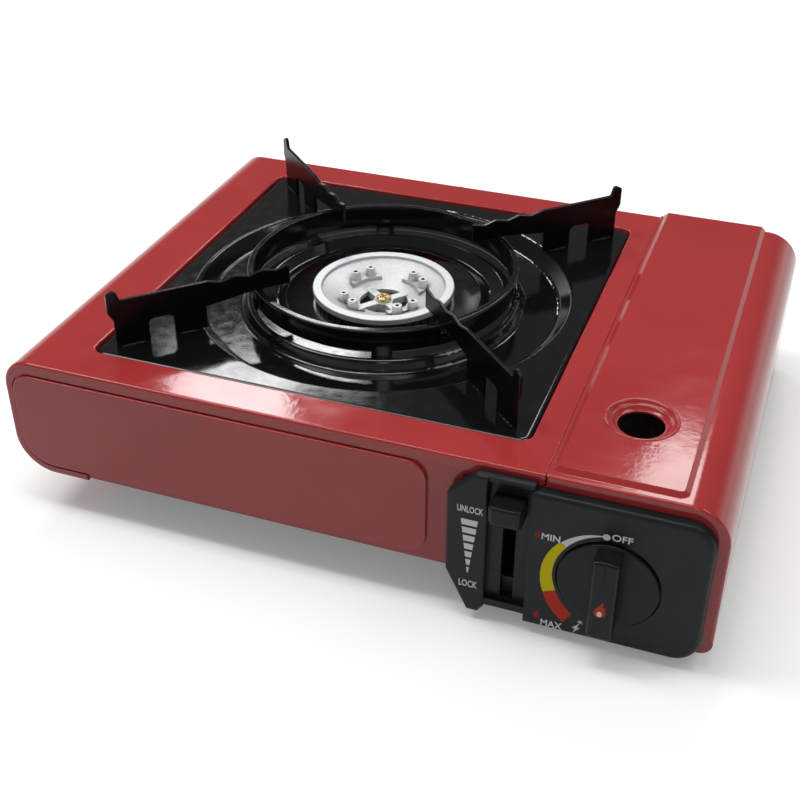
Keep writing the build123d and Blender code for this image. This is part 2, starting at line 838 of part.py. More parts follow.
# Pins that the lid turns on, headed on the inside of the plates
with BuildPart() as lid_pivot_pins:
    for inner_y, outer_y, inward in ((inner_front_y, lid_front_y, 1), (inner_back_y, lid_back_y, -1)):
        with BuildSketch(Plane(origin=(pivot_x, inner_y, pivot_height), z_dir=(0, inward, 0))):
            Circle(pivot_head_radius)
        extrude(amount=pivot_head_height)
        with BuildSketch(Plane(origin=(pivot_x, inner_y, pivot_height), z_dir=(0, -inward, 0))):
            Circle(pivot_radius)
        extrude(amount=abs(inner_y - outer_y))
lid_pivot_pins.part.label = "lid_pivot_pins"
export_step(lid_pivot_pins.part, "parts/lid_pivot_pins.step")

# Leaf spring on the partition that holds the lid's edge
catch_high = lid_top - top_flange - catch_drop
with BuildPart() as lid_catch:
    solid_box(
        tray_left,
        tray_left + catch_sheet,
        middle_y - catch_width / 2,
        middle_y + catch_width / 2,
        catch_high - catch_height,
        catch_high,
    )
    with BuildSketch(front_plane(middle_y + catch_width / 2)):
        with Locations((tray_left + catch_sheet, catch_high - catch_height / 4)):
            Circle(catch_nose)
    extrude(amount=catch_width)
lid_catch.part.label = "lid_catch"
export_step(lid_catch.part, "parts/lid_catch.step")

# Control panel: scale plate at the left, dial plate at the right, lever recess between them
scale_plate_points = []
for across, up in scale_plate_shares:
    point_x = panel_left + across * scale_plate_width
    scale_plate_points.append((point_x, panel_low + up * scale_plate_height))
recess_floor_y = front_y - recess_floor_proud
knob_recess_y = panel_face_y + knob_sink
with BuildPart() as control_panel:
    with BuildSketch(front_plane(panel_back_y)):
        with BuildLine():
            Polyline(*scale_plate_points, close=True)
        make_face()
    extrude(amount=panel_thickness)
    with BuildSketch(front_plane(panel_back_y)) as dial_plate:
        box_between(dial_plate_left, panel_right, panel_low, dial_plate_top)
        fillet(dial_plate.vertices().group_by(Axis.X)[-1], radius=dial_plate_radius)
    extrude(amount=panel_thickness)
    plate_faces = control_panel.faces().sort_by(Axis.Y)[:2].sort_by(Axis.X)
    dial_edges = plate_faces[1].edges().sort_by(Axis.X)
    fillet(dial_edges[1:], radius=dial_plate_edge)
    plate_faces = control_panel.faces().sort_by(Axis.Y)[:2].sort_by(Axis.X)
    fillet(plate_faces[0].edges(), radius=panel_edge)
    with BuildSketch(front_plane(panel_back_y)):
        box_between(recess_left - panel_edge, dial_plate_left + panel_edge, recess_foot, scale_plate_top)
    extrude(amount=panel_back_y - recess_floor_y)
    for low, high in ((recess_foot, recess_low), (scale_plate_top - recess_bar, scale_plate_top)):
        with BuildSketch(front_plane(panel_back_y)):
            box_between(recess_left - panel_edge, dial_plate_left + panel_edge, low, high)
        extrude(amount=panel_thickness - panel_edge)
    with BuildSketch(front_plane(plate_front_y)):
        box_between(plinth_left, plinth_right, plinth_low, plinth_high)
    extrude(amount=plate_front_y - panel_back_y)
    with BuildSketch(front_plane(knob_recess_y)):
        with Locations((knob_x, knob_height)):
            Circle(knob_radius + knob_gap)
    extrude(amount=knob_sink + overrun, mode=Mode.SUBTRACT)
    with BuildSketch(front_plane(plate_front_y + overrun)):
        with Locations((knob_x, knob_height)):
            Circle(stem_radius + stem_pass)
        with Locations((lever_x, (slot_top + slot_low) / 2)):
            Rectangle(lever_slot_width, slot_top - slot_low)
    extrude(amount=plate_front_y - panel_face_y + 2 * overrun, mode=Mode.SUBTRACT)
    with BuildSketch(front_plane(plate_front_y + overrun)):
        with Locations(*panel_screw_places):
            Circle(screw_radius + screw_gap)
    extrude(amount=panel_screw_depth + overrun, mode=Mode.SUBTRACT)
control_panel.part.label = "control_panel"
export_step(control_panel.part, "parts/control_panel.step")

with BuildPart() as panel_screws:
    for screw_x, screw_z in panel_screw_places:
        place = (screw_x, inner_front_y, screw_z)
        add(screw(place, (0, -1, 0), screw_head_height, panel_screw_depth + sheet - slip))
panel_screws.part.label = "panel_screws"
export_step(panel_screws.part, "parts/panel_screws.step")

# Gas knob with its grip bar, and the valve stem that it turns
knob_back_y = knob_recess_y - slip
knob_face_y = panel_face_y - knob_proud
with BuildPart() as gas_knob:
    with BuildSketch(front_plane(knob_back_y)):
        with Locations((knob_x, knob_height)):
            Circle(knob_radius)
    extrude(amount=knob_back_y - knob_face_y)
    fillet(gas_knob.faces().sort_by(Axis.Y)[0].edges(), radius=knob_edge)
    with BuildSketch(front_plane(knob_face_y)):
        with Locations((knob_x, knob_height)):
            Circle(knob_radius - knob_edge)
            Rectangle(grip_width, 2 * knob_radius, mode=Mode.INTERSECT)
    extrude(amount=grip_height)
    fillet(gas_knob.faces().sort_by(Axis.Y)[0].edges(), radius=grip_edge)
    with BuildSketch(front_plane(knob_back_y + overrun)):
        with Locations((knob_x, knob_height)):
            Circle(stem_radius + close_fit)
    extrude(amount=stem_socket + overrun, mode=Mode.SUBTRACT)
gas_knob.part.label = "gas_knob"
export_step(gas_knob.part, "parts/gas_knob.step")

stem_end_y = inner_front_y + stem_bore_depth - slip
with BuildPart() as valve_stem:
    with BuildSketch(front_plane(stem_end_y)):
        with Locations((knob_x, knob_height)):
            Circle(stem_radius)
    extrude(amount=stem_end_y - knob_back_y + stem_socket - slip)
valve_stem.part.label = "valve_stem"
export_step(valve_stem.part, "parts/valve_stem.step")

# Lock lever: a finger block, a stem through the slot, a keeper and an arm with its follower pin
lever_low = lever_top - lever_height
lever_middle = lever_top - lever_height / 2
lever_back_y = recess_floor_y - slip
lever_face_y = front_y - lever_proud
keeper_near = inner_front_y + slip
keeper_far = keeper_near + keeper_thickness
cam_left = lever_x + arm_width / 2 + cam_gap
lever_points = [
    (lever_back_y, lever_low),
    (lever_face_y + lever_low_set_back, lever_low),
    (lever_face_y, lever_low + lever_height * lever_chin_share),
    (lever_face_y, lever_top),
    (lever_back_y, lever_top),
]
with BuildPart() as lock_lever:
    with BuildSketch(Plane.YZ.offset(lever_x - lever_width / 2)):
        with BuildLine():
            Polyline(*lever_points, close=True)
        make_face()
    extrude(amount=lever_width)
    lever_low_y = lever_face_y + lever_low_set_back
    near_edges = lock_lever.edges().filter_by_position(Axis.Y, lever_face_y, lever_low_y)
    side_edges = near_edges.filter_by(Axis.X, reverse=True)
    fillet(side_edges, radius=lever_side_radius)
    near_edges = lock_lever.edges().filter_by_position(Axis.Y, lever_face_y, lever_back_y - lever_edge)
    fillet(near_edges.filter_by(Axis.X), radius=lever_edge)
    solid_box(
        lever_x - stem_width / 2,
        lever_x + stem_width / 2,
        lever_back_y,
        keeper_near,
        lever_middle - stem_height / 2,
        lever_middle + stem_height / 2,
    )
    solid_box(
        lever_x - keeper_width / 2,
        lever_x + keeper_width / 2,
        keeper_near,
        keeper_far,
        lever_middle - stem_height / 2,
        lever_middle + stem_height / 2,
    )
lock_lever.part.label = "lock_lever"
export_step(lock_lever.part, "parts/lock_lever.step")

with BuildPart() as lever_follower:
    solid_box(
        lever_x - arm_width / 2,
        lever_x + arm_width / 2,
        keeper_far,
        inner_front_y + arm_depth,
        lever_middle - arm_width,
        lever_middle + arm_width,
    )
    with BuildSketch(Plane.YZ.offset(lever_x)):
        with Locations((pin_y, pin_z)):
            Circle(pin_radius)
    extrude(amount=cam_left + cam_sheet - lever_x - slip)
lever_follower.part.label = "lever_follower"
export_step(lever_follower.part, "parts/lever_follower.step")

# Cam plate with a slanting slot: the follower going down draws the carriage forward
cam_low = pin_z - lever_travel - cam_margin
cam_high = pin_z + cam_margin
cam_slot_length = hypot(lever_travel, clamp_travel)
cam_slot_angle = degrees(atan2(lever_travel, -clamp_travel))
with BuildPart() as clamp_cam_plate:
    with BuildSketch(Plane.YZ.offset(cam_left)):
        box_between(cam_near, cam_far, cam_low, cam_high)
        with Locations((pin_y + clamp_travel / 2, pin_z - lever_travel / 2)):
            SlotCenterToCenter(
                cam_slot_length, 2 * (pin_radius + slip), rotation=cam_slot_angle, mode=Mode.SUBTRACT
            )
    extrude(amount=cam_sheet)
clamp_cam_plate.part.label = "clamp_cam_plate"
export_step(clamp_cam_plate.part, "parts/clamp_cam_plate.step")

# Clamp carriage: slides on the tray and pushes the canister on to its seat
carriage_left = tray_left + sheet + slip
carriage_low = tray_floor + sheet + slip
carriage_far = back_y - carriage_back
carriage_right = tray_right - carriage_right_gap
tongue_near = cam_near + tongue_margin
tongue_far = cam_far - tongue_margin
with BuildPart() as clamp_carriage:
    solid_box(
        cam_left + cam_sheet,
        carriage_left + carriage_sheet,
        tongue_near,
        tongue_far,
        tongue_height,
        tongue_height + tongue_sheet,
    )
    solid_box(
        carriage_left,
        carriage_left + carriage_sheet,
        tongue_near,
        carriage_far,
        carriage_low,
        tongue_height + tongue_sheet,
    )
    solid_box(
        carriage_left,
        carriage_right,
        front_y + carriage_front,
        carriage_far,
        carriage_low,
        carriage_low + carriage_sheet,
    )
    solid_box(
        carriage_left + pusher_inset,
        carriage_right,
        carriage_far - carriage_sheet,
        carriage_far,
        carriage_low,
        carriage_low + pusher_height,
    )
clamp_carriage.part.label = "clamp_carriage"
export_step(clamp_carriage.part, "parts/clamp_carriage.step")

# Drip pan: square plate with a skirt, pressed ring valley, ridge and burner hole
pan_width = opening_width - 2 * pan_gap
pan_depth = opening_depth - 2 * pan_gap
pan_radius = opening_radius - pan_gap
pan_line = [(recess_radius + recess_lap, pan_top), (recess_radius, pan_top)]
for across, down in pan_profile_shares:
    pan_line.append((recess_radius * across, pan_top - valley_drop * down))
pan_underside = [(r, z - pan_sheet) for r, z in pan_line]
with BuildPart() as drip_pan:
    with BuildSketch(Plane.XY.offset(ledge_z)):
        with Locations(opening_place):
            RectangleRounded(pan_width, pan_depth, pan_radius)
    extrude(amount=pan_top - ledge_z)
    fillet(drip_pan.faces().sort_by(Axis.Z)[-1].edges(), radius=pan_rim_radius)
    with BuildSketch(Plane.XY.offset(ledge_z)):
        with Locations(opening_place):
            RectangleRounded(pan_width - 2 * pan_sheet, pan_depth - 2 * pan_sheet, pan_radius - pan_sheet)
    extrude(amount=pan_top - ledge_z - pan_sheet, mode=Mode.SUBTRACT)
    with BuildSketch(Plane.XY.offset(ledge_z)):
        with Locations(opening_place):
            Circle(recess_radius + recess_lap / 2)
    extrude(amount=pan_drop + overrun, mode=Mode.SUBTRACT)
    with BuildSketch(radial_plane(0)):
        with BuildLine():
            upper = FilletPolyline(*pan_line, radius=pan_bend)
            lower = FilletPolyline(*pan_underside, radius=pan_bend)
            Line(upper @ 0, lower @ 0)
            Line(upper @ 1, lower @ 1)
        make_face()
    revolve(axis=burner_axis)
drip_pan.part.label = "drip_pan"
export_step(drip_pan.part, "parts/drip_pan.step")

# Collar ring of the pot support, standing on the pan's ridge on four short legs
ring_top = ridge_z + ring_height
with BuildPart() as support_ring:
    with BuildSketch(radial_plane(0)):
        box_between(ring_radius - ring_sheet, ring_radius, ridge_z, ring_top)
        with Locations((ring_radius - ring_sheet + ring_lip_width / 2, ring_top - ring_lip_height / 2)):
            RectangleRounded(ring_lip_width, ring_lip_height, ring_lip_radius)
    revolve(axis=burner_axis)
    with BuildSketch(burner_plane(ridge_z)):
        Circle(ring_radius + overrun)
        Circle(ring_radius - ring_sheet - overrun, mode=Mode.SUBTRACT)
        with PolarLocations(ring_radius, ring_leg_count, start_angle=ring_leg_angle):
            Rectangle(ring_leg_width, ring_leg_width, mode=Mode.SUBTRACT)
    extrude(amount=ring_window, mode=Mode.SUBTRACT)
support_ring.part.label = "support_ring"
export_step(support_ring.part, "parts/support_ring.step")

# Pot support arms: upright sheets with two legs, a saw-toothed top edge and a raised tip
arm_back_z = pan_top + arm_back_height
leg_top = pan_top + leg_height
arm_top = pan_top + arm_height
tip_step_z = pan_top + arm_height * arm_tip_step_share
neck_z = pan_top + arm_height * arm_neck_share
tip_inner = arm_reach - arm_tip_width
tooth_run = (arm_tooth_start - arm_inner_reach) / arm_tooth_count
arm_points = [
    (arm_foot_reach, pan_top),
    (arm_foot_reach, neck_z),
    (arm_reach, tip_step_z),
    (arm_reach, arm_top - arm_radius),
    (arm_reach - arm_tip_width * (1 - arm_tip_crown_share), arm_top),
    (tip_inner + arm_radius, arm_top),
    (tip_inner, arm_back_z),
]
for tooth in range(arm_tooth_count):
    tooth_reach = arm_tooth_start - tooth * tooth_run
    arm_points.append((tooth_reach, arm_back_z))
    arm_points.append((tooth_reach - tooth_run / 2, arm_back_z - arm_tooth_depth))
arm_points += [
    (arm_inner_reach, arm_back_z),
    (arm_inner_reach, ring_top),
    (ring_radius + ring_lip_width, ring_top),
    (inner_leg_reach, leg_top),
    (inner_leg_reach, pan_top),
    (inner_leg_outer_reach, pan_top),
    (inner_leg_outer_reach, leg_top),
    (outer_leg_reach, leg_top),
    (outer_leg_reach, pan_top),
]
for place_name, angle in arm_angles.items():
    with BuildPart() as support_arm:
        with BuildSketch(radial_plane(angle)) as outline:
            with BuildLine():
                Polyline(*arm_points, close=True)
            make_face()
            corners = outline.vertices()
            tip_corners = corners.filter_by_position(Axis.Y, neck_z, arm_top)
            tip_corners = tip_corners.filter_by_position(Axis.X, tip_inner - overrun, arm_reach)
            fillet(tip_corners, radius=arm_tip_radius)
            window_corners = outline.vertices().filter_by_position(Axis.Y, leg_top, leg_top)
            window_corners = window_corners.filter_by_position(Axis.X, inner_leg_outer_reach, outer_leg_reach)
            fillet(window_corners, radius=leg_notch_radius)
        extrude(amount=arm_sheet / 2, both=True)
        side_faces = support_arm.faces().sort_by(SortBy.AREA)[-2:]
        fillet(side_faces.edges(), radius=arm_edge)
    support_arm.part.label = f"support_arm_{place_name}"
    export_step(support_arm.part, f"parts/support_arm_{place_name}.step")

# Burner head: a dish with a broad rim, a spoked centre and pairs of posts on flat pads
rim_z = casing_top + burner_rise
rim_low = rim_z - burner_rim_height
cup_radius = burner_radius - burner_rim_width
head_low = rim_z - head_height
dish_edge_z = rim_z - dish_edge_drop
dish_low_z = rim_z - dish_depth
dish_slope = (dish_edge_z - dish_low_z) / (cup_radius - spider_radius)
dish_outer = cup_radius + cup_wall / 2
dish_outer_z = dish_low_z + dish_slope * (dish_outer - spider_radius)
dish_line = [(spider_radius, dish_low_z), (dish_outer, dish_outer_z)]
dish_underside = [(r, z - dish_floor) for r, z in dish_line]
spider_z = dish_low_z + spider_rise
pad_radius = post_ring_radius - pad_width
pad_z = dish_low_z + dish_slope * (post_ring_radius - spider_radius) + pad_rise
pad_span = 2 * post_ring_radius * sin(radians(pad_spread_angle))
pad_low = dish_low_z + dish_slope * (pad_radius - spider_radius) - dish_floor / 2
post_top_z = rim_z - post_top_drop
post_taper = degrees(atan((post_radius - post_top_radius) / (post_top_z - pad_low)))
with BuildPart() as burner_head:
    with BuildSketch(burner_plane(rim_low)):
        Circle(burner_radius)
        Circle(cup_radius, mode=Mode.SUBTRACT)
    extrude(amount=burner_rim_height)
    fillet(burner_head.faces().sort_by(Axis.Z)[-1].edges(), radius=burner_rim_edge)
    with BuildSketch(burner_plane(head_low)):
        Circle(cup_radius + cup_wall)
        Circle(cup_radius, mode=Mode.SUBTRACT)
    extrude(amount=rim_low - head_low)
    with BuildSketch(radial_plane(0)):
        with BuildLine():
            Polyline(*dish_line, *dish_underside[::-1], close=True)
        make_face()
    revolve(axis=burner_axis)
    with BuildSketch(burner_plane(spider_z)):
        for turn in (post_pair_angle, post_pair_angle + quarter_turn_angle):
            Rectangle(2 * (spider_radius + cup_wall), spoke_width, rotation=turn)
    extrude(amount=-spoke_height)
    with BuildSketch(burner_plane(spider_z)):
        Circle(hub_radius)
    extrude(amount=-hub_height)
    with BuildSketch(burner_plane(pad_low)):
        Circle(post_ring_radius)
        Circle(pad_radius, mode=Mode.SUBTRACT)
        with PolarLocations(post_ring_radius, post_pair_count, start_angle=post_pair_angle):
            Rectangle(post_ring_radius, pad_span, mode=Mode.INTERSECT)
    extrude(amount=pad_z - pad_low)
    with BuildSketch(burner_plane(pad_low)):
        for turn in (post_pair_angle - post_spread_angle, post_pair_angle + post_spread_angle):
            with PolarLocations(post_ring_radius, post_pair_count, start_angle=turn):
                Circle(post_radius)
    extrude(amount=post_top_z - pad_low, taper=post_taper)
    with BuildSketch(burner_plane(post_top_z - post_bore_depth)):
        for turn in (post_pair_angle - post_spread_angle, post_pair_angle + post_spread_angle):
            with PolarLocations(post_ring_radius, post_pair_count, start_angle=turn):
                Circle(post_bore)
    extrude(amount=post_bore_depth + overrun, mode=Mode.SUBTRACT)
    with BuildSketch(burner_plane(spider_z - hub_height - overrun)):
        Circle(centre_screw_radius + close_fit)
    extrude(amount=hub_height + 2 * overrun, mode=Mode.SUBTRACT)
burner_head.part.label = "burner_head"
export_step(burner_head.part, "parts/burner_head.step")

# Band of flame ports under the rim
port_outer = burner_radius - port_inset
with BuildPart() as flame_port_band:
    with BuildSketch(burner_plane(head_low)):
        Circle(port_outer)
        Circle(port_outer - port_wall, mode=Mode.SUBTRACT)
    extrude(amount=rim_low - head_low)
    with BuildSketch(burner_plane((head_low + rim_low - port_height) / 2)):
        with PolarLocations(port_outer, port_count):
            Rectangle(2 * port_wall + overrun, port_width)
    extrude(amount=port_height, mode=Mode.SUBTRACT)
flame_port_band.part.label = "flame_port_band"
export_step(flame_port_band.part, "parts/flame_port_band.step")

# Burner base: mixing chamber with an inlet stub and a post for the centre screw
chamber_inner = chamber_radius - chamber_wall
flare_low = head_low - base_flange_height
chamber_top = flare_low - flare_height
base_outer_line = [
    (0, chamber_bottom),
    (chamber_radius, chamber_bottom),
    (chamber_radius, chamber_top),
    (burner_radius, flare_low),
    (burner_radius, head_low),
]
base_inner_line = [
    (cup_radius, head_low),
    (cup_radius, flare_low + chamber_wall / 2),
    (chamber_inner, chamber_top + chamber_wall / 2),
    (chamber_inner, chamber_bottom + chamber_wall),
    (0, chamber_bottom + chamber_wall),
]
stub_radius = tube_radius + stub_wall
stub_end = chamber_radius + stub_reach
tube_start = stub_end - tube_lap
base_post_top = spider_z - hub_height
with BuildPart() as burner_base:
    with BuildSketch(radial_plane(0)):
        with BuildLine():
            Polyline(*base_outer_line, *base_inner_line, close=True)
        make_face()
    revolve(axis=burner_axis)
    with BuildSketch(tube_plane(chamber_inner)):
        Circle(stub_radius)
    extrude(amount=stub_end - chamber_inner)
    with BuildSketch(tube_plane(0)):
        Circle(tube_radius + close_fit)
    extrude(amount=stub_end + overrun, mode=Mode.SUBTRACT)
    with BuildSketch(burner_plane(chamber_bottom)):
        Circle(base_post_radius)
    extrude(amount=base_post_top - chamber_bottom)
    with BuildSketch(burner_plane(spider_z - centre_screw_length - slip)):
        Circle(centre_screw_radius + close_fit)
    extrude(amount=centre_screw_length, mode=Mode.SUBTRACT)
burner_base.part.label = "burner_base"
export_step(burner_base.part, "parts/burner_base.step")

# Brass screw in the middle of the burner head
with BuildPart() as burner_screw:
    with BuildSketch(burner_plane(spider_z)):
        Circle(centre_screw_head)
    extrude(amount=centre_screw_head_height)
    screw_slot_depth = centre_screw_head_height * screw_slot_share
    fillet(burner_screw.faces().sort_by(Axis.Z)[-1].edges(), radius=screw_slot_depth)
    with BuildSketch(burner_plane(spider_z)):
        Circle(centre_screw_radius)
    extrude(amount=-centre_screw_length)
    with BuildSketch(burner_plane(spider_z + centre_screw_head_height - screw_slot_depth)):
        Rectangle(2 * centre_screw_head, screw_slot_width, rotation=post_pair_angle)
        Rectangle(2 * centre_screw_head, screw_slot_width, rotation=post_pair_angle + quarter_turn_angle)
    extrude(amount=screw_slot_depth + overrun, mode=Mode.SUBTRACT)
burner_screw.part.label = "burner_screw"
export_step(burner_screw.part, "parts/burner_screw.step")

# Mixing tube from the jet to the burner base
jet_end = tube_span - boss_length
tube_end = jet_end - jet_length + jet_gap
with BuildPart() as mixing_tube:
    with BuildSketch(tube_plane(tube_start)):
        Circle(tube_radius)
        Circle(tube_radius - tube_wall, mode=Mode.SUBTRACT)
    extrude(amount=tube_end - tube_start)
mixing_tube.part.label = "mixing_tube"
export_step(mixing_tube.part, "parts/mixing_tube.step")

with BuildPart() as gas_jet:
    with BuildSketch(tube_plane(jet_end - jet_length)):
        Circle(jet_radius)
        Circle(jet_bore, mode=Mode.SUBTRACT)
    extrude(amount=jet_length)
gas_jet.part.label = "gas_jet"
export_step(gas_jet.part, "parts/gas_jet.step")

# Regulator behind the front plate, with ears, an outlet boss and a bore for the valve stem
regulator_far = inner_front_y + regulator_depth
with BuildPart() as regulator_body:
    with BuildSketch(front_plane(regulator_far)) as block:
        box_between(regulator_left, regulator_right, regulator_low, regulator_high)
        fillet(block.vertices(), radius=regulator_radius)
    extrude(amount=regulator_depth)
    solid_box(
        regulator_left - ear_width,
        regulator_right + ear_width,
        inner_front_y,
        inner_front_y + ear_thickness,
        knob_height - ear_height / 2,
        knob_height + ear_height / 2,
    )
    with BuildSketch(tube_plane(jet_end)):
        Circle(boss_radius)
    extrude(amount=boss_length + boss_radius)
    with BuildSketch(front_plane(inner_front_y + stem_bore_depth)):
        with Locations((knob_x, knob_height)):
            Circle(stem_radius + close_fit)
    extrude(amount=stem_bore_depth + overrun, mode=Mode.SUBTRACT)
    with BuildSketch(front_plane(inner_front_y + ear_thickness + overrun)):
        with Locations(*regulator_screw_places):
            Circle(screw_radius + screw_gap)
    extrude(amount=ear_thickness + 2 * overrun, mode=Mode.SUBTRACT)
regulator_body.part.label = "regulator_body"
export_step(regulator_body.part, "parts/regulator_body.step")

with BuildPart() as regulator_screws:
    for screw_x, screw_z in regulator_screw_places:
        place = (screw_x, inner_front_y + ear_thickness, screw_z)
        add(screw(place, (0, -1, 0), screw_head_height, ear_thickness + sheet))
regulator_screws.part.label = "regulator_screws"
export_step(regulator_screws.part, "parts/regulator_screws.step")

# Canister seat with its seal, and the key that fits the canister's notch
seat_far = regulator_far + seat_length
with BuildPart() as canister_seat:
    with BuildSketch(front_plane(seat_far)):
        with Locations((canister_x, canister_height)):
            Circle(seat_radius)
            Circle(seat_bore, mode=Mode.SUBTRACT)
    extrude(amount=seat_length)
canister_seat.part.label = "canister_seat"
export_step(canister_seat.part, "parts/canister_seat.step")

with BuildPart() as seat_seal:
    with BuildSketch(front_plane(seat_far + seal_length)):
        with Locations((canister_x, canister_height)):
            Circle(seal_radius)
            Circle(seat_bore, mode=Mode.SUBTRACT)
    extrude(amount=seal_length)
seat_seal.part.label = "seat_seal"
export_step(seat_seal.part, "parts/seat_seal.step")

with BuildPart() as notch_key:
    solid_box(
        canister_x - key_width / 2,
        canister_x + key_width / 2,
        regulator_far - key_lap,
        regulator_far + key_reach,
        regulator_high,
        regulator_high + key_height,
    )
notch_key.part.label = "notch_key"
export_step(notch_key.part, "parts/notch_key.step")

# Bridge bracket that carries the burner on the base plate
bridge_top = chamber_bottom
floor_top = floor_plate_z + sheet
with BuildPart() as burner_bracket:
    solid_box(
        burner_x - bridge_length / 2,
        burner_x + bridge_length / 2,
        burner_y - bridge_width / 2,
        burner_y + bridge_width / 2,
        bridge_top - bracket_sheet,
        bridge_top,
    )
    for side in (-1, 1):
        leg_x = burner_x + side * (bridge_length - bracket_sheet) / 2
        foot_x = burner_x + side * (bridge_length + bridge_foot) / 2
        solid_box(
            leg_x - bracket_sheet / 2,
            leg_x + bracket_sheet / 2,
            burner_y - bridge_width / 2,
            burner_y + bridge_width / 2,
            floor_top,
            bridge_top,
        )
        solid_box(
            foot_x - bridge_foot / 2,
            foot_x + bridge_foot / 2,
            burner_y - bridge_width / 2,
            burner_y + bridge_width / 2,
            floor_top,
            floor_top + bracket_sheet,
        )
    with BuildSketch(Plane.XY.offset(floor_top - overrun)):
        with Locations(*bracket_screw_places):
            Circle(screw_radius + screw_gap)
    extrude(amount=bracket_sheet + 2 * overrun, mode=Mode.SUBTRACT)
burner_bracket.part.label = "burner_bracket"
export_step(burner_bracket.part, "parts/burner_bracket.step")

with BuildPart() as bracket_screws:
    for screw_x, screw_y in bracket_screw_places:
        place = (screw_x, screw_y, floor_top + bracket_sheet)
        add(screw(place, (0, 0, -1), screw_head_height, bracket_sheet + sheet))
bracket_screws.part.label = "bracket_screws"
export_step(bracket_screws.part, "parts/bracket_screws.step")

# Spark electrode in its ceramic insulator, on a bracket at the burner base
electrode_turn = radians(electrode_angle)
electrode_high = rim_low - electrode_drop
electrode_low = electrode_high - electrode_length
insulator_high = flare_low - insulator_gap
insulator_low = insulator_high - insulator_length
electrode_x = burner_x + electrode_ring_radius * cos(electrode_turn)
electrode_y = burner_y + electrode_ring_radius * sin(electrode_turn)
with BuildPart() as electrode_bracket:
    with BuildSketch(burner_plane(insulator_high - electrode_bracket_drop)) as strip:
        with PolarLocations(electrode_ring_radius / 2, 1, start_angle=electrode_angle):
            Rectangle(electrode_ring_radius + 2 * electrode_bracket_lap, electrode_bracket_width)
        Circle(chamber_radius, mode=Mode.SUBTRACT)
        with PolarLocations(electrode_ring_radius, 1, start_angle=electrode_angle):
            Circle(insulator_radius + close_fit, mode=Mode.SUBTRACT)
    extrude(amount=-bracket_sheet)
electrode_bracket.part.label = "electrode_bracket"
export_step(electrode_bracket.part, "parts/electrode_bracket.step")

with BuildPart() as electrode_insulator:
    with BuildSketch(Plane(origin=(electrode_x, electrode_y, insulator_low))):
        Circle(insulator_radius)
        Circle(electrode_radius + close_fit, mode=Mode.SUBTRACT)
    extrude(amount=insulator_high - insulator_low)
electrode_insulator.part.label = "electrode_insulator"
export_step(electrode_insulator.part, "parts/electrode_insulator.step")

inward = Vector(burner_x - electrode_x, burner_y - electrode_y, 0).normalized()
electrode_foot = Vector(electrode_x, electrode_y, electrode_low)
electrode_knee = Vector(electrode_x, electrode_y, electrode_high)
with BuildPart() as spark_electrode:
    with BuildLine() as electrode_line:
        electrode_tip = electrode_knee + inward * electrode_bend
        FilletPolyline(electrode_foot, electrode_knee, electrode_tip, radius=2 * electrode_radius)
    with BuildSketch(Plane(origin=electrode_foot, z_dir=(0, 0, 1))):
        Circle(electrode_radius)
    sweep(path=electrode_line.wires()[0])
spark_electrode.part.label = "spark_electrode"
export_step(spark_electrode.part, "parts/spark_electrode.step")

# Piezo igniter on the regulator, and the lead to the electrode
igniter_near = inner_front_y + igniter_set_back
igniter_left = regulator_left + igniter_inset
with BuildPart() as piezo_igniter:
    solid_box(
        igniter_left,
        igniter_left + igniter_width,
        igniter_near,
        igniter_near + igniter_depth,
        regulator_high,
        regulator_high + igniter_height,
    )
piezo_igniter.part.label = "piezo_igniter"
export_step(piezo_igniter.part, "parts/piezo_igniter.step")

lead_start = Vector(igniter_left, lead_y, lead_height)
lead_bay_x = partition_x - lead_set_back
lead_side_x = burner_x + electrode_ring_radius + lead_side_gap
lead_back_y = electrode_y + lead_bend
lead_low = electrode_low - lead_bend
lead_points = [
    lead_start,
    Vector(lead_bay_x, lead_y, lead_height),
    Vector(lead_side_x, burner_y, lead_height),
    Vector(lead_side_x, lead_back_y, lead_low),
    Vector(electrode_x, lead_back_y, lead_low),
    Vector(electrode_x, electrode_y, lead_low),
    electrode_foot,
]
with BuildPart() as ignition_lead:
    with BuildLine() as lead_line:
        FilletPolyline(*lead_points, radius=[lead_bend, lead_bend, lead_bend, lead_end_bend, lead_end_bend])
    with BuildSketch(Plane(origin=lead_start, z_dir=lead_points[1] - lead_start)):
        Circle(lead_radius)
    sweep(path=lead_line.wires()[0])
ignition_lead.part.label = "ignition_lead"
export_step(ignition_lead.part, "parts/ignition_lead.step")
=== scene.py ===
import json
import logging
import math
from abc import ABC, abstractmethod
from collections.abc import Sequence
from dataclasses import dataclass
from enum import Enum
from functools import cache

import bmesh
import bpy
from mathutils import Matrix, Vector
from mathutils.bvhtree import BVHTree


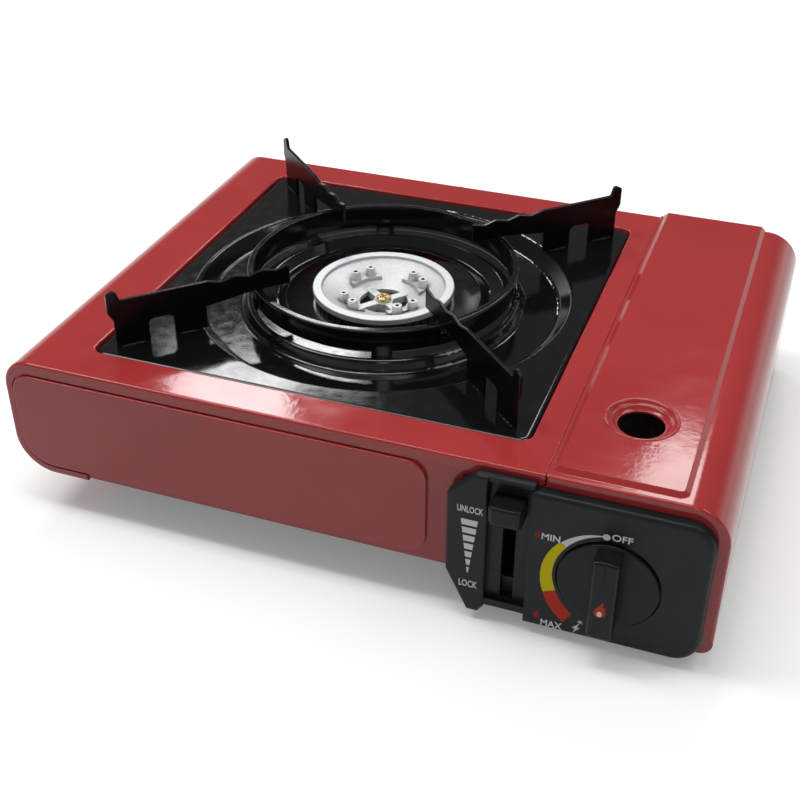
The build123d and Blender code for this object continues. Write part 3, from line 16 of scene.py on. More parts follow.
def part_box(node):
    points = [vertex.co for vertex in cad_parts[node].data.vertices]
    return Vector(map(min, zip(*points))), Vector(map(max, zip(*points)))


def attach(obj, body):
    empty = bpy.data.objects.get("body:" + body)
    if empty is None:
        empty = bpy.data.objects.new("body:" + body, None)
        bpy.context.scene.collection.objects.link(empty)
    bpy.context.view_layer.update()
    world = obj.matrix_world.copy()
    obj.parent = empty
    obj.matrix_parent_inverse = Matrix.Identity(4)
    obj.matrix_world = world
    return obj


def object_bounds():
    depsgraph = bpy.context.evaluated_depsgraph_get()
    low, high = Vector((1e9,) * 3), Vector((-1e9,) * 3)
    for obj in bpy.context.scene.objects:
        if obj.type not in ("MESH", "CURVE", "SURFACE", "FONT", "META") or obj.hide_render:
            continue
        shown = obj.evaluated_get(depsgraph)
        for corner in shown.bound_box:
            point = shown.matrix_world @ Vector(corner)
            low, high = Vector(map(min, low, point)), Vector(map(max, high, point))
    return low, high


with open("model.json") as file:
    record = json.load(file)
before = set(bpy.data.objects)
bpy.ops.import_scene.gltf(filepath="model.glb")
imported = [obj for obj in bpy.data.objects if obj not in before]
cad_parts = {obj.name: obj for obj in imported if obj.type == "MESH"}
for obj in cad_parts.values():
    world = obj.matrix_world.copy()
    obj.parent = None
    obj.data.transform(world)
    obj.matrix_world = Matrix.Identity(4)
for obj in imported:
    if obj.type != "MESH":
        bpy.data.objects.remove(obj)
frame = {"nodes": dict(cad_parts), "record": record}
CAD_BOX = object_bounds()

log = logging.getLogger("gas_stove")

Socket = bpy.types.NodeSocket
Material = bpy.types.Material
Mesh = bpy.types.Mesh
Pair = tuple[float, float]
Triple = tuple[float, float, float]
Colour = Triple
Outline = list[Pair]

MM = 0.001
FULL = (0.0, 1.0)
MIDDLE = (0.3, 0.7)
CLOUD = (0.35, 0.65)
CLEAR = 50 * MM
GLASSY_IOR = 1.5
EDGE_SAMPLES = 4
CREVICE_SHADE_SAMPLES = 8
NUMBER_SOCKETS = (0, 2, 3)
COLOUR_SOCKETS = (0, 6, 7)
DOWN = Vector((0.0, 0.0, -1.0))
BACKWARD = Vector((0.0, 1.0, 0.0))


class Body(Enum):
    """Bodies that carry new pieces, by the frame's own names."""

    STOVE = "stove_body"
    PAN = "pan_body"
    LID = "lid_body"
    KNOB = "knob_body"


class Slot(Enum):
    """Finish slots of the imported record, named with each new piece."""

    RED_PAINT = "red_paint"
    BLACK_ENAMEL = "black_enamel"
    PANEL_PLASTIC = "panel_plastic"
    KNOB_PLASTIC = "knob_plastic"


class Nodes:
    """Node tree with short calls for what the finishes and the surroundings share."""

    def __init__(self, tree: bpy.types.NodeTree) -> None:
        """Empties the tree.

        Args:
            tree: Node tree of a material or a world.
        """
        self.tree = tree
        tree.nodes.clear()

    def node(self, kind: str, **settings: object) -> bpy.types.Node:
        """Adds a node.

        Args:
            kind: Blender's name of the node type.
            **settings: Properties to set on the node.

        Returns:
            The new node.
        """
        made = self.tree.nodes.new(kind)
        for key, value in settings.items():
            setattr(made, key, value)
        return made

    def link(self, output: Socket, socket: Socket) -> None:
        """Joins an output to an input."""
        self.tree.links.new(output, socket)

    def feed(self, socket: Socket, value: object) -> None:
        """Links a socket, or sets it where the value is plain.

        Args:
            socket: Input to fill.
            value: An output socket, a number, a colour or a vector.
        """
        if isinstance(value, Socket):
            self.link(value, socket)
        elif isinstance(value, tuple) and socket.type == "RGBA":
            socket.default_value = (*value, 1.0)
        else:
            socket.default_value = value

    def axes(self, point: Socket) -> bpy.types.bpy_prop_collection:
        """Splits a point into the outputs X, Y and Z."""
        split = self.node("ShaderNodeSeparateXYZ")
        self.link(point, split.inputs["Vector"])
        return split.outputs

    def spread(self, value: Socket, source: Pair, target: Pair, ramp: str = "LINEAR") -> Socket:
        """Maps a value from one range to another and clamps it.

        Args:
            value: Value to map.
            source: Range that the value has.
            target: Range that comes out.
            ramp: Blender's name of the curve between them.

        Returns:
            The mapped value.
        """
        made = self.node("ShaderNodeMapRange", clamp=True, interpolation_type=ramp)
        self.link(value, made.inputs["Value"])
        for key, number in zip(("From Min", "From Max", "To Min", "To Max"), (*source, *target)):
            made.inputs[key].default_value = number
        return made.outputs["Result"]

    def sums(self, operation: str, *values: object) -> Socket:
        """Adds a Math node.

        Args:
            operation: Blender's name of the operation.
            *values: Sockets or numbers, in order.

        Returns:
            The result.
        """
        made = self.node("ShaderNodeMath", operation=operation)
        for socket, value in zip(made.inputs, values):
            self.feed(socket, value)
        return made.outputs["Value"]

    def shift(self, share: object, first: object, second: object) -> Socket:
        """Mixes two numbers.

        Args:
            share: How much of the second number.
            first: Number at share 0.
            second: Number at share 1.

        Returns:
            The mixed number.
        """
        made = self.node("ShaderNodeMix", data_type="FLOAT")
        for index, value in zip(NUMBER_SOCKETS, (share, first, second)):
            self.feed(made.inputs[index], value)
        return made.outputs[0]

    def rays(self) -> tuple[Socket, Socket]:
        """Gives masks of the camera's rays and of those by way of gloss or glass."""
        path = self.node("ShaderNodeLightPath").outputs
        mirrored = self.sums("MAXIMUM", path["Is Glossy Ray"], path["Is Transmission Ray"])
        return path["Is Camera Ray"], mirrored


class Graph(Nodes):
    """Shader graph of one material."""

    def __init__(self, name: str) -> None:
        """Starts a material that holds only a Principled shader and its output.

        Args:
            name: Name of the new material.
        """
        self.material = bpy.data.materials.new(name)
        self.material.use_nodes = True
        super().__init__(self.material.node_tree)
        output = self.node("ShaderNodeOutputMaterial")
        self.shader = self.node("ShaderNodeBsdfPrincipled")
        self.link(self.shader.outputs["BSDF"], output.inputs["Surface"])
        self._place = self.node("ShaderNodeTexCoord").outputs["Object"]

    def place(self, stretch: Triple | None = None) -> Socket:
        """Gives the point in the piece's own frame, in metres.

        Args:
            stretch: Scale of each axis, for a pattern drawn out along one.

        Returns:
            The vector output.
        """
        if stretch is None:
            return self._place
        mapping = self.node("ShaderNodeMapping")
        mapping.inputs["Scale"].default_value = stretch
        self.link(self._place, mapping.inputs["Vector"])
        return mapping.outputs["Vector"]

    def noise(self, size: float, detail: float = 2.0, stretch: Triple | None = None) -> Socket:
        """Adds a noise whose lumps have about the given size.

        Args:
            size: Size of a lump in metres.
            detail: Octaves of finer lumps.
            stretch: Scale of each axis.

        Returns:
            The noise value, around a half.
        """
        made = self.node("ShaderNodeTexNoise")
        made.inputs["Scale"].default_value = 1.0 / size
        made.inputs["Detail"].default_value = detail
        self.link(self.place(stretch), made.inputs["Vector"])
        return made.outputs["Fac"]

    def cells(self, size: float) -> Socket:
        """Adds flat random cells, as on plated sheet.

        Args:
            size: Size of a cell in metres.

        Returns:
            One grey value for each cell.
        """
        made = self.node("ShaderNodeTexVoronoi", feature="F1")
        made.inputs["Scale"].default_value = 1.0 / size
        self.link(self.place(), made.inputs["Vector"])
        split = self.node("ShaderNodeSeparateColor")
        self.link(made.outputs["Color"], split.inputs["Color"])
        return split.outputs["Red"]

    def tint(self, share: object, first: object, second: object) -> Socket:
        """Mixes two colours.

        Args:
            share: How much of the second colour.
            first: Colour at share 0.
            second: Colour at share 1.

        Returns:
            The mixed colour.
        """
        made = self.node("ShaderNodeMix", data_type="RGBA")
        for index, value in zip(COLOUR_SOCKETS, (share, first, second)):
            self.feed(made.inputs[index], value)
        return made.outputs[2]

    def rounded(self, radius: float) -> Socket:
        """Gives a normal that runs round sharp edges.

        Args:
            radius: Radius of the rounding in metres.

        Returns:
            The normal.
        """
        made = self.node("ShaderNodeBevel", samples=EDGE_SAMPLES)
        made.inputs["Radius"].default_value = radius
        return made.outputs["Normal"]

    def edges(self, normal: Socket, gain: float) -> Socket:
        """Gives a mask of the sharp edges.

        Args:
            normal: Rounded normal of the same graph.
            gain: How quickly the mask fills from the edge.

        Returns:
            A value of 1 at the edges and 0 on flat faces.
        """
        geometry = self.node("ShaderNodeNewGeometry")
        product = self.node("ShaderNodeVectorMath", operation="DOT_PRODUCT")
        self.link(normal, product.inputs[0])
        self.link(geometry.outputs["Normal"], product.inputs[1])
        fall = self.sums("SUBTRACT", 1.0, product.outputs["Value"])
        return self.spread(fall, (0.0, 1.0 / gain), FULL)

    def bump(self, height: Socket, depth: float, normal: Socket | None = None) -> Socket:
        """Turns a height into a normal.

        Args:
            height: Height from 0 to 1.
            depth: Depth of the relief in metres.
            normal: Normal to start from.

        Returns:
            The new normal.
        """
        made = self.node("ShaderNodeBump")
        made.inputs["Distance"].default_value = depth
        self.link(height, made.inputs["Height"])
        if normal is not None:
            self.link(normal, made.inputs["Normal"])
        return made.outputs["Normal"]

    def finish(self, **sockets: object) -> Material:
        """Fills the shader's sockets.

        Args:
            **sockets: Values by socket name, with _ for a space.

        Returns:
            The finished material.
        """
        for key, value in sockets.items():
            self.feed(self.shader.inputs[key.replace("_", " ")], value)
        return self.material


@dataclass(frozen=True)
class Finish(ABC):
    """Named finish of a surface."""

    name: str

    @abstractmethod
    def material(self) -> Material:
        """Builds the finish's material."""


@cache
def shared(finish: Finish) -> Material:
    """Gives a finish's material, made once."""
    return finish.material()


@dataclass(frozen=True)
class PaintFinish(Finish):
    """Baked gloss paint on pressed sheet: slow waves, crinkles, orange peel, and a painted highlight that
    makes it paler over its edges.
    """

    colour: Colour
    deep: Colour
    # Paler red of the painted highlight along the edges.
    thin: Colour
    gloss: Pair = (0.06, 0.12)
    gloss_size: float = 14 * MM
    cloud_size: float = 60 * MM
    # Size, gain and share of the painted edge highlight's mask.
    edge_sheen_size: float = 3 * MM
    edge_sheen_gain: float = 2.0
    edge_sheen_share: float = 0.8
    wave_size: float = 34 * MM
    wave_depth: float = 0.12 * MM
    crinkle_size: float = 5.5 * MM
    crinkle_depth: float = 0.02 * MM
    peel_size: float = 1.8 * MM
    peel_depth: float = 0.016 * MM
    edge_radius: float = 0.5 * MM
    shine: float = 0.42
    # Painted shade: an optional stretch across, coloured near black so the lever slot reads dark.
    slot_shade_span: Pair | None = None
    slot_shade: Colour = (0.008, 0.008, 0.008)

    def material(self) -> Material:
        """Builds the paint's material, with a stretch across painted near black as shade where it has one.
        """
        g = Graph(self.name)
        normal = g.rounded(self.edge_radius)
        cloud = g.spread(g.noise(self.cloud_size), CLOUD, FULL)
        # Painted highlight: the edges, broken up by noise, are tinted towards the paler red.
        edge_sheen = g.sums("MULTIPLY", g.edges(normal, self.edge_sheen_gain), g.noise(self.edge_sheen_size, 4.0))
        body = g.tint(cloud, self.colour, self.deep)
        waved = g.bump(g.noise(self.wave_size, 1.5), self.wave_depth, normal)
        crinkled = g.bump(g.noise(self.crinkle_size, 1.0), self.crinkle_depth, waved)
        colour = g.tint(g.sums("MULTIPLY", edge_sheen, self.edge_sheen_share), body, self.thin)
        # Painted shade across the stretch behind the lever.
        if self.slot_shade_span is not None:
            slot_shade = g.sums("COMPARE", g.axes(g.place())["X"], *self.slot_shade_span)
            colour = g.tint(slot_shade, colour, self.slot_shade)
        return g.finish(
            Base_Color=colour,
            Roughness=g.spread(g.noise(self.gloss_size, 5.0), MIDDLE, self.gloss),
            IOR=GLASSY_IOR,
            Specular_IOR_Level=self.shine,
            Normal=g.bump(g.noise(self.peel_size, 1.0), self.peel_depth, crinkled),
        )


@dataclass(frozen=True)
class EnamelFinish(Finish):
    """Fired glass enamel: rippled gloss, pinholes, and grey chips on its edges that are partly real wear
    and partly a painted glint.
    """

    colour: Colour
    bloom: Colour
    chip_and_glint: Colour
    gloss: Pair = (0.05, 0.13)
    gloss_size: float = 5 * MM
    speck_size: float = 0.9 * MM
    speck_span: Pair = (0.62, 0.74)
    chip_size: float = 2.2 * MM
    chip_span: Pair = (0.52, 0.62)
    chip_gain: float = 2.5
    ripple_size: float = 0.7 * MM
    ripple_depth: float = 0.014 * MM
    sag_size: float = 14 * MM
    sag_depth: float = 0.05 * MM
    edge_radius: float = 0.5 * MM
    shine: float = 0.5

    def material(self) -> Material:
        """Builds the enamel's material."""
        g = Graph(self.name)
        rounded = g.rounded(self.edge_radius)
        ripple = g.noise(self.ripple_size, 2.5)
        sag = g.noise(self.sag_size, 2.0)
        normal = g.bump(ripple, self.ripple_depth, g.bump(sag, self.sag_depth, rounded))
        specks = g.spread(g.noise(self.speck_size, 3.0), self.speck_span, FULL)
        chips = g.spread(g.noise(self.chip_size, 5.0), self.chip_span, FULL)
        # Grey chips along the edges: partly real wear, partly a painted glint.
        chip_and_glint = g.sums("MULTIPLY", g.edges(rounded, self.chip_gain), chips)
        body = g.tint(specks, self.colour, self.bloom)
        return g.finish(
            Base_Color=g.tint(chip_and_glint, body, self.chip_and_glint),
            Roughness=g.spread(g.noise(self.gloss_size, 6.0), MIDDLE, self.gloss),
            IOR=GLASSY_IOR,
            Specular_IOR_Level=self.shine,
            Normal=normal,
        )


@dataclass(frozen=True)
class CastFinish(Finish):
    """Die-cast metal with a fine grain, turned bright on the faces above a height, and painted shade in
    its crevices.
    """

    colour: Colour
    shade: Colour
    bright: Colour
    metal: float
    turned_height: float = 10.0
    turned_centre: Pair = (0.0, 0.0)
    turned_rough: float = 0.06
    rough: Pair = (0.4, 0.45)
    rough_size: float = 1.6 * MM
    groove_pitch: float = 0.35 * MM
    groove_swing: float = 0.02
    grain_size: float = 0.7 * MM
    grain_depth: float = 0.09 * MM
    cloud_size: float = 7 * MM
    cloud_span: Pair = (0.35, 0.7)
    cloud_share: float = 0.5
    fleck_size: float = 0.55 * MM
    fleck_span: Pair = (0.42, 0.64)
    fleck_share: float = 0.9
    edge_radius: float = 0.35 * MM
    # Painted shade: within this reach, ambient occlusion darkens hollows and corners towards a near-black
    # colour.
    crevice_shade_reach: float = 4.5 * MM
    crevice_shade_span: Pair = (0.25, 0.85)
    crevice_shade: Colour = (0.04, 0.04, 0.045)

    def material(self) -> Material:
        """Builds the casting's material."""
        g = Graph(self.name)
        rounded = g.rounded(self.edge_radius)
        point = g.axes(g.place())
        lathe = g.sums("GREATER_THAN", point["Z"], self.turned_height)
        across = g.sums("SUBTRACT", point["X"], self.turned_centre[0])
        along = g.sums("SUBTRACT", point["Y"], self.turned_centre[1])
        square = g.sums("MULTIPLY_ADD", along, along, g.sums("MULTIPLY", across, across))
        turn = g.sums("MULTIPLY", g.sums("SQRT", square), math.tau / self.groove_pitch)
        grooves = g.sums("MULTIPLY_ADD", g.sums("SINE", turn), self.groove_swing, 0.5)
        grain = g.noise(self.grain_size, 4.0)
        relief = g.tint(lathe, grain, grooves)
        cloud = g.spread(g.noise(self.cloud_size, 5.0), self.cloud_span, (0.0, self.cloud_share))
        fleck = g.spread(g.noise(self.fleck_size, 3.0), self.fleck_span, (0.0, self.fleck_share))
        stain = g.sums("MAXIMUM", cloud, fleck)
        # Painted shade in the crevices, from ambient occlusion.
        corner = g.node("ShaderNodeAmbientOcclusion", samples=CREVICE_SHADE_SAMPLES)
        corner.inputs["Distance"].default_value = self.crevice_shade_reach
        unshaded_share = g.spread(corner.outputs["AO"], self.crevice_shade_span, FULL)
        cast = g.tint(unshaded_share, self.crevice_shade, g.tint(stain, self.colour, self.shade))
        rough = g.spread(g.noise(self.rough_size, 4.0), MIDDLE, self.rough)
        return g.finish(
            Base_Color=g.tint(lathe, cast, self.bright),
            Metallic=self.metal,
            Roughness=g.sums("MULTIPLY_ADD", lathe, self.turned_rough, rough),
            Normal=g.bump(relief, self.grain_depth, rounded),
        )


@dataclass(frozen=True)
class PlatedFinish(Finish):
    """Plated or drawn metal sheet with crystal patches and fine drawing lines, optionally painted near
    black in front of a depth as shade.
    """

    colour: Colour
    shade: Colour
    rough: Pair = (0.26, 0.42)
    metal: float = 1.0
    # Painted shade: in front of this depth the sheet is coloured near black, so the lever slot reads dark.
    shade_front_y: float | None = None
    front_shade: Colour = (0.012, 0.012, 0.012)
    patch_size: float = 3.5 * MM
    patch_span: Pair = (0.1, 0.6)
    cloud_size: float = 12 * MM
    line_size: float = 4 * MM
    line_stretch: Triple = (1.0, 14.0, 14.0)
    line_depth: float = 0.006 * MM
    edge_radius: float = 0.3 * MM

    def material(self) -> Material:
        """Builds the sheet's material."""
        g = Graph(self.name)
        rounded = g.rounded(self.edge_radius)
        patch = g.sums("MULTIPLY", g.cells(self.patch_size), g.noise(self.cloud_size, 3.0))
        lines = g.noise(self.line_size, 5.0, self.line_stretch)
        colour = g.tint(g.spread(patch, self.patch_span, FULL), self.colour, self.shade)
        # Painted shade in front of the given depth.
        if self.shade_front_y is not None:
            front_shade_mask = g.sums("LESS_THAN", g.axes(g.place())["Y"], self.shade_front_y)
            colour = g.tint(front_shade_mask, colour, self.front_shade)
        return g.finish(
            Base_Color=colour,
            Metallic=self.metal,
            Roughness=g.spread(lines, MIDDLE, self.rough),
            Normal=g.bump(lines, self.line_depth, rounded),
        )


@dataclass(frozen=True)
class MouldedFinish(Finish):
    """Moulded plastic, rubber or ceramic: fine grain, softly rubbed along its edges."""

    colour: Colour
    patch: Colour
    rubbed: Colour
    rough: Pair
    rough_size: float = 6 * MM
    cloud_size: float = 18 * MM
    grain_size: float = 0.45 * MM
    grain_depth: float = 0.012 * MM
    edge_radius: float = 0.45 * MM
    rub: float = 0.5
    rub_gain: float = 2.0
    shine: float = 0.5

    def material(self) -> Material:
        """Builds the moulding's material."""
        g = Graph(self.name)
        rounded = g.rounded(self.edge_radius)
        cloud = g.spread(g.noise(self.cloud_size, 4.0), CLOUD, FULL)
        rubbed = g.sums("MULTIPLY", g.edges(rounded, self.rub_gain), self.rub)
        body = g.tint(cloud, self.colour, self.patch)
        return g.finish(
            Base_Color=g.tint(rubbed, body, self.rubbed),
            Roughness=g.spread(g.noise(self.rough_size, 6.0), MIDDLE, self.rough),
            IOR=GLASSY_IOR,
            Specular_IOR_Level=self.shine,
            Normal=g.bump(g.noise(self.grain_size, 3.0), self.grain_depth, rounded),
        )


@dataclass(frozen=True)
class InkFinish(Finish):
    """Screen-printed ink: nearly even, a little thin in places."""

    colour: Colour
    thin: Colour
    rough: Pair = (0.42, 0.55)
    rough_size: float = 2 * MM
    thin_size: float = 0.8 * MM
    thin_span: Pair = (0.52, 0.75)
    thin_share: float = 0.6
    grain_size: float = 0.35 * MM
    grain_depth: float = 0.004 * MM
    shine: float = 0.15

    def material(self) -> Material:
        """Builds the ink's material."""
        g = Graph(self.name)
        thin = g.spread(g.noise(self.thin_size, 5.0), self.thin_span, (0.0, self.thin_share))
        return g.finish(
            Base_Color=g.tint(thin, self.colour, self.thin),
            Roughness=g.spread(g.noise(self.rough_size, 4.0), MIDDLE, self.rough),
            Specular_IOR_Level=self.shine,
            Normal=g.bump(g.noise(self.grain_size, 2.0), self.grain_depth),
        )


BURNER_LOW, BURNER_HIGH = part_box("burner_head")
LEVER_LOW, LEVER_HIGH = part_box("lock_lever")
BURNER_CENTRE = ((BURNER_LOW.x + BURNER_HIGH.x) / 2, (BURNER_LOW.y + BURNER_HIGH.y) / 2)
# Stretch across behind the lock lever where the front plate is painted near black as shade.
BEHIND_LEVER = ((LEVER_LOW.x + LEVER_HIGH.x) / 2, (LEVER_HIGH.x - LEVER_LOW.x) / 2)
TURNED_SKIN = 0.3 * MM
# Depth in front of which the base plate is painted near black as shade.
BASE_SHADE_FRONT_Y = -75 * MM
# Body red, its darker patches, and the paler red of the painted edge highlight.
REDS = ((0.37, 0.034, 0.0345), (0.342, 0.03, 0.0305), (0.5, 0.085, 0.085))

RED_PAINT = PaintFinish("red_paint", *REDS)
# Front plate paint with a painted shade across the lever slot.
FRONT_PAINT = PaintFinish("front_paint", *REDS, slot_shade_span=BEHIND_LEVER)
# Last colour: grey of the edge chips, partly a painted glint.
BLACK_ENAMEL = EnamelFinish(
    "black_enamel", (0.0045, 0.0045, 0.005), (0.011, 0.0115, 0.0125), (0.2, 0.2, 0.2)
)
# Same chips and painted glint, darker and rougher.
ARM_ENAMEL = EnamelFinish(
    "arm_enamel", (0.003, 0.003, 0.0035), (0.008, 0.008, 0.009), (0.14, 0.14, 0.14),
    gloss=(0.16, 0.26), ripple_size=1.6 * MM, ripple_depth=0.03 * MM, shine=0.2,
)
CAST_ALUMINIUM = CastFinish(
    "cast_aluminium", (0.78, 0.79, 0.81), (0.55, 0.56, 0.58), (0.72, 0.73, 0.75), 0.5,
    turned_height=BURNER_HIGH.z - TURNED_SKIN, turned_centre=BURNER_CENTRE,
)
ROUGH_CASTING = CastFinish("rough_casting", (0.5, 0.51, 0.53), (0.36, 0.37, 0.39), (0.6, 0.61, 0.63), 0.7)
ZINC_STEEL = PlatedFinish("zinc_steel", (0.62, 0.63, 0.65), (0.47, 0.485, 0.5))
DULL_ZINC = PlatedFinish(
    "dull_zinc", (0.8, 0.79, 0.78), (0.68, 0.67, 0.665), rough=(0.4, 0.55), metal=0.3,
    shade_front_y=BASE_SHADE_FRONT_Y,
)
BRIGHT_STEEL = PlatedFinish("bright_steel", (0.68, 0.68, 0.69), (0.56, 0.56, 0.575), rough=(0.18, 0.3))
DARK_STEEL = PlatedFinish("dark_steel", (0.1, 0.1, 0.105), (0.06, 0.06, 0.065), rough=(0.3, 0.45))
BRASS = PlatedFinish("brass", (0.8, 0.64, 0.3), (0.66, 0.5, 0.2), rough=(0.16, 0.3))
PANEL_PLASTIC = MouldedFinish(
    "panel_plastic", (0.0068, 0.0102, 0.0122), (0.0086, 0.0122, 0.0142), (0.022, 0.027, 0.031),
    (0.34, 0.46), shine=0.2,
)
KNOB_PLASTIC = MouldedFinish(
    "knob_plastic", (0.0055, 0.008, 0.0095), (0.007, 0.0095, 0.011), (0.02, 0.024, 0.027),
    (0.28, 0.4), shine=0.18,
)
RUBBER = MouldedFinish(
    "rubber", (0.012, 0.012, 0.012), (0.02, 0.02, 0.02), (0.035, 0.035, 0.035), (0.7, 0.9),
    grain_size=0.8 * MM, grain_depth=0.03 * MM,
)
LEAD_COVER = MouldedFinish(
    "lead_cover", (0.3, 0.018, 0.015), (0.24, 0.014, 0.012), (0.36, 0.03, 0.025), (0.4, 0.55)
)
WHITE_CERAMIC = MouldedFinish(
    "white_ceramic", (0.76, 0.75, 0.71), (0.7, 0.69, 0.64), (0.62, 0.6, 0.55), (0.18, 0.3),
    grain_depth=0.006 * MM,
)
WHITE_INK = InkFinish("white_ink", (0.72, 0.74, 0.76), (0.5, 0.52, 0.54))
YELLOW_INK = InkFinish("yellow_ink", (0.68, 0.57, 0.003), (0.55, 0.46, 0.003))
RED_INK = InkFinish("red_ink", (0.52, 0.035, 0.016), (0.42, 0.03, 0.014))
FLAME_INK = InkFinish("flame_ink", (0.3, 0.022, 0.012), (0.2, 0.016, 0.01))
# Near-black strip for the knob's pointer groove: painted shade.
GROOVE_SHADE = InkFinish("groove_shade", (0.004, 0.0045, 0.005), (0.006, 0.0065, 0.007))
# Painted shade: the flame port band under the burner's rim gets a much darker metal than the head.
PORT_SHADE = CastFinish("port_shade", (0.1, 0.1, 0.105), (0.05, 0.05, 0.055), (0.2, 0.2, 0.21), 0.8)


class Assembly(ABC):
    """What the sub-assemblies share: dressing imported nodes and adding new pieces."""

    @abstractmethod
    def build(self) -> None:
        """Dresses the sub-assembly's nodes and adds its new pieces."""

    def dress(self, finish: Finish, *names: str) -> None:
        """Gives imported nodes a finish.

        Args:
            finish: Finish of the nodes.
            *names: Nodes to dress.
        """
        for name in names:
            mesh = frame["nodes"][name].data
            mesh.materials.clear()
            mesh.materials.append(shared(finish))
            log.info("dressed %s with %s", name, finish.name)

    def add(self, name: str, mesh: Mesh, finish: Finish, body: Body, slot: Slot) -> bpy.types.Object:
        """Adds a new piece that rides on a body.

        Args:
            name: Name of the piece.
            mesh: Mesh in the stove's frame.
            finish: Finish of the piece.
            body: Body that carries it.
            slot: Record slot that its finish belongs to; not used.

        Returns:
            The new object.
        """
        piece = bpy.data.objects.new(name, mesh)
        bpy.context.scene.collection.objects.link(piece)
        mesh.materials.append(shared(finish))
        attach(piece, body.value)
        log.info("added %s on %s", name, body.value)
        return piece


def close_mesh(name: str, bm: bmesh.types.BMesh, smooth: bool = False) -> Mesh:
    """Writes a finished bmesh to a mesh and frees it.

    Args:
        name: Name of the mesh.
        bm: What was built.
        smooth: Whether its faces are shaded smooth.

    Returns:
        The mesh.
    """
    mesh = bpy.data.meshes.new(name)
    bm.to_mesh(mesh)
    bm.free()
    for polygon in mesh.polygons:
        polygon.use_smooth = smooth
    return mesh


def first_hit(node: str, start: Vector, way: Vector) -> Vector:
    """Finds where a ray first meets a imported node.

    Args:
        node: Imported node.
        start: Point that the ray leaves from, in metres.
        way: Direction of the ray.

    Returns:
        The point on the node's surface.
    """
    bm = bmesh.new()
    bm.from_mesh(frame["nodes"][node].data)
    tree = BVHTree.FromBMesh(bm)
    bm.free()
    return tree.ray_cast(start, way)[0]


def front_y(node: str, x: float, z: float) -> float:
    """Finds a node's front surface, looking from the stove's front.

    Args:
        node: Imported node.
        x: Place across, in metres.
        z: Height, in metres.

    Returns:
        The depth of the first surface.
    """
    low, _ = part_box(node)
    return first_hit(node, Vector((x, low.y - CLEAR, z)), BACKWARD).y


def plate_mesh(name: str, outlines: Sequence[Outline], back_y: float, rise: float) -> Mesh:
    """Builds thin plates that stand on a face of the stove's front.

    Args:
        name: Name of the mesh.
        outlines: Closed outlines in millimetres across and up, one for each plate.
        back_y: Depth of the face that carries them, in metres.
        rise: Thickness in metres.

    Returns:
        The mesh, closed on all sides.
    """
    bm = bmesh.new()
    for outline in outlines:
        corners = [bm.verts.new((x * MM, back_y - rise, z * MM)) for x, z in outline]
        face = bm.faces.new(corners)
        face.normal_update()
        if face.normal.y > 0:
            face.normal_flip()
        grown = bmesh.ops.extrude_face_region(bm, geom=[face])
        moved = [item for item in grown["geom"] if isinstance(item, bmesh.types.BMVert)]
        bmesh.ops.translate(bm, verts=moved, vec=(0.0, 2 * rise, 0.0))
    bmesh.ops.recalc_face_normals(bm, faces=bm.faces)
    bmesh.ops.triangulate(bm, faces=[face for face in bm.faces if len(face.verts) > 4])
    return close_mesh(name, bm)


@dataclass(frozen=True)
class Word:
    """Plain control word: its letters, middle, width and height in millimetres."""

    text: str
    centre: Pair
    width: float
    height: float
    boldness: float = 0.018
    curve_steps: int = 3


def word_mesh(name: str, word: Word, back_y: float, rise: float) -> Mesh:
    """Builds a printed word on a face of the stove's front.

    Args:
        name: Name of the mesh.
        word: The word and its sizes.
        back_y: Depth of the face that carries it, in metres.
        rise: Thickness in metres.

    Returns:
        The mesh of the letters.
    """
    curve = bpy.data.curves.new(name + "_line", "FONT")
    curve.body = word.text
    curve.resolution_u = word.curve_steps
    curve.offset = word.boldness
    curve.extrude = 1.0
    holder = bpy.data.objects.new(name + "_line", curve)
    bpy.context.scene.collection.objects.link(holder)
    shapes = bpy.context.evaluated_depsgraph_get()
    mesh = bpy.data.meshes.new_from_object(holder.evaluated_get(shapes))
    bpy.data.objects.remove(holder)
    mesh.name = name
    across = [vertex.co.x for vertex in mesh.vertices]
    up = [vertex.co.y for vertex in mesh.vertices]
    scale_x = word.width * MM / (max(across) - min(across))
    scale_z = word.height * MM / (max(up) - min(up))
    middle = Vector(((max(across) + min(across)) / 2, (max(up) + min(up)) / 2))
    for vertex in mesh.vertices:
        x, z, depth = vertex.co
        vertex.co = (
            word.centre[0] * MM + (x - middle.x) * scale_x,
            back_y - depth * rise,
            word.centre[1] * MM + (z - middle.y) * scale_z,
        )
    mesh.materials.clear()
    return mesh


@dataclass(frozen=True)
class Flame:
    """Plain flame sign with a pale drop at its foot, drawn on a unit height."""

    width: float = 0.58
    drop_half: Pair = (0.13, 0.17)
    drop_fall: float = 0.3
    drop_taper: float = 0.45
    drop_corners: int = 14
    sides: Sequence[Pair] = (
        (0.2, 0.5), (0.12, 0.36), (-0.02, 0.24), (-0.18, 0.12), (-0.34, -0.01), (-0.45, -0.15),
        (-0.48, -0.28), (-0.4, -0.4), (-0.24, -0.48), (-0.02, -0.5), (0.22, -0.48), (0.4, -0.38),
        (0.48, -0.24), (0.48, -0.09), (0.41, 0.05), (0.31, 0.17), (0.25, 0.28), (0.23, 0.39),
    )

    def outline(self, centre: Pair, height: float) -> Outline:
        """Places the flame.

        Args:
            centre: Middle in millimetres across and up.
            height: Height in millimetres.

        Returns:
            Its outline in millimetres.
        """
        wide = height * self.width
        return [(centre[0] + x * wide, centre[1] + z * height) for x, z in self.sides]

    def heart(self, centre: Pair, height: float) -> Outline:
        """Places the pale drop at the flame's foot.

        Args:
            centre: Middle of the flame in millimetres.
            height: Height of the flame in millimetres.

        Returns:
            The drop's outline in millimetres.
        """
        turns = [math.tau * step / self.drop_corners for step in range(self.drop_corners)]
        wide, tall = (height * half for half in self.drop_half)
        middle = centre[1] - self.drop_fall * height
        return [
            (
                centre[0] + wide * math.sin(turn) * (1.0 - self.drop_taper * max(0.0, math.cos(turn))),
                middle + tall * math.cos(turn),
            )
            for turn in turns
        ]


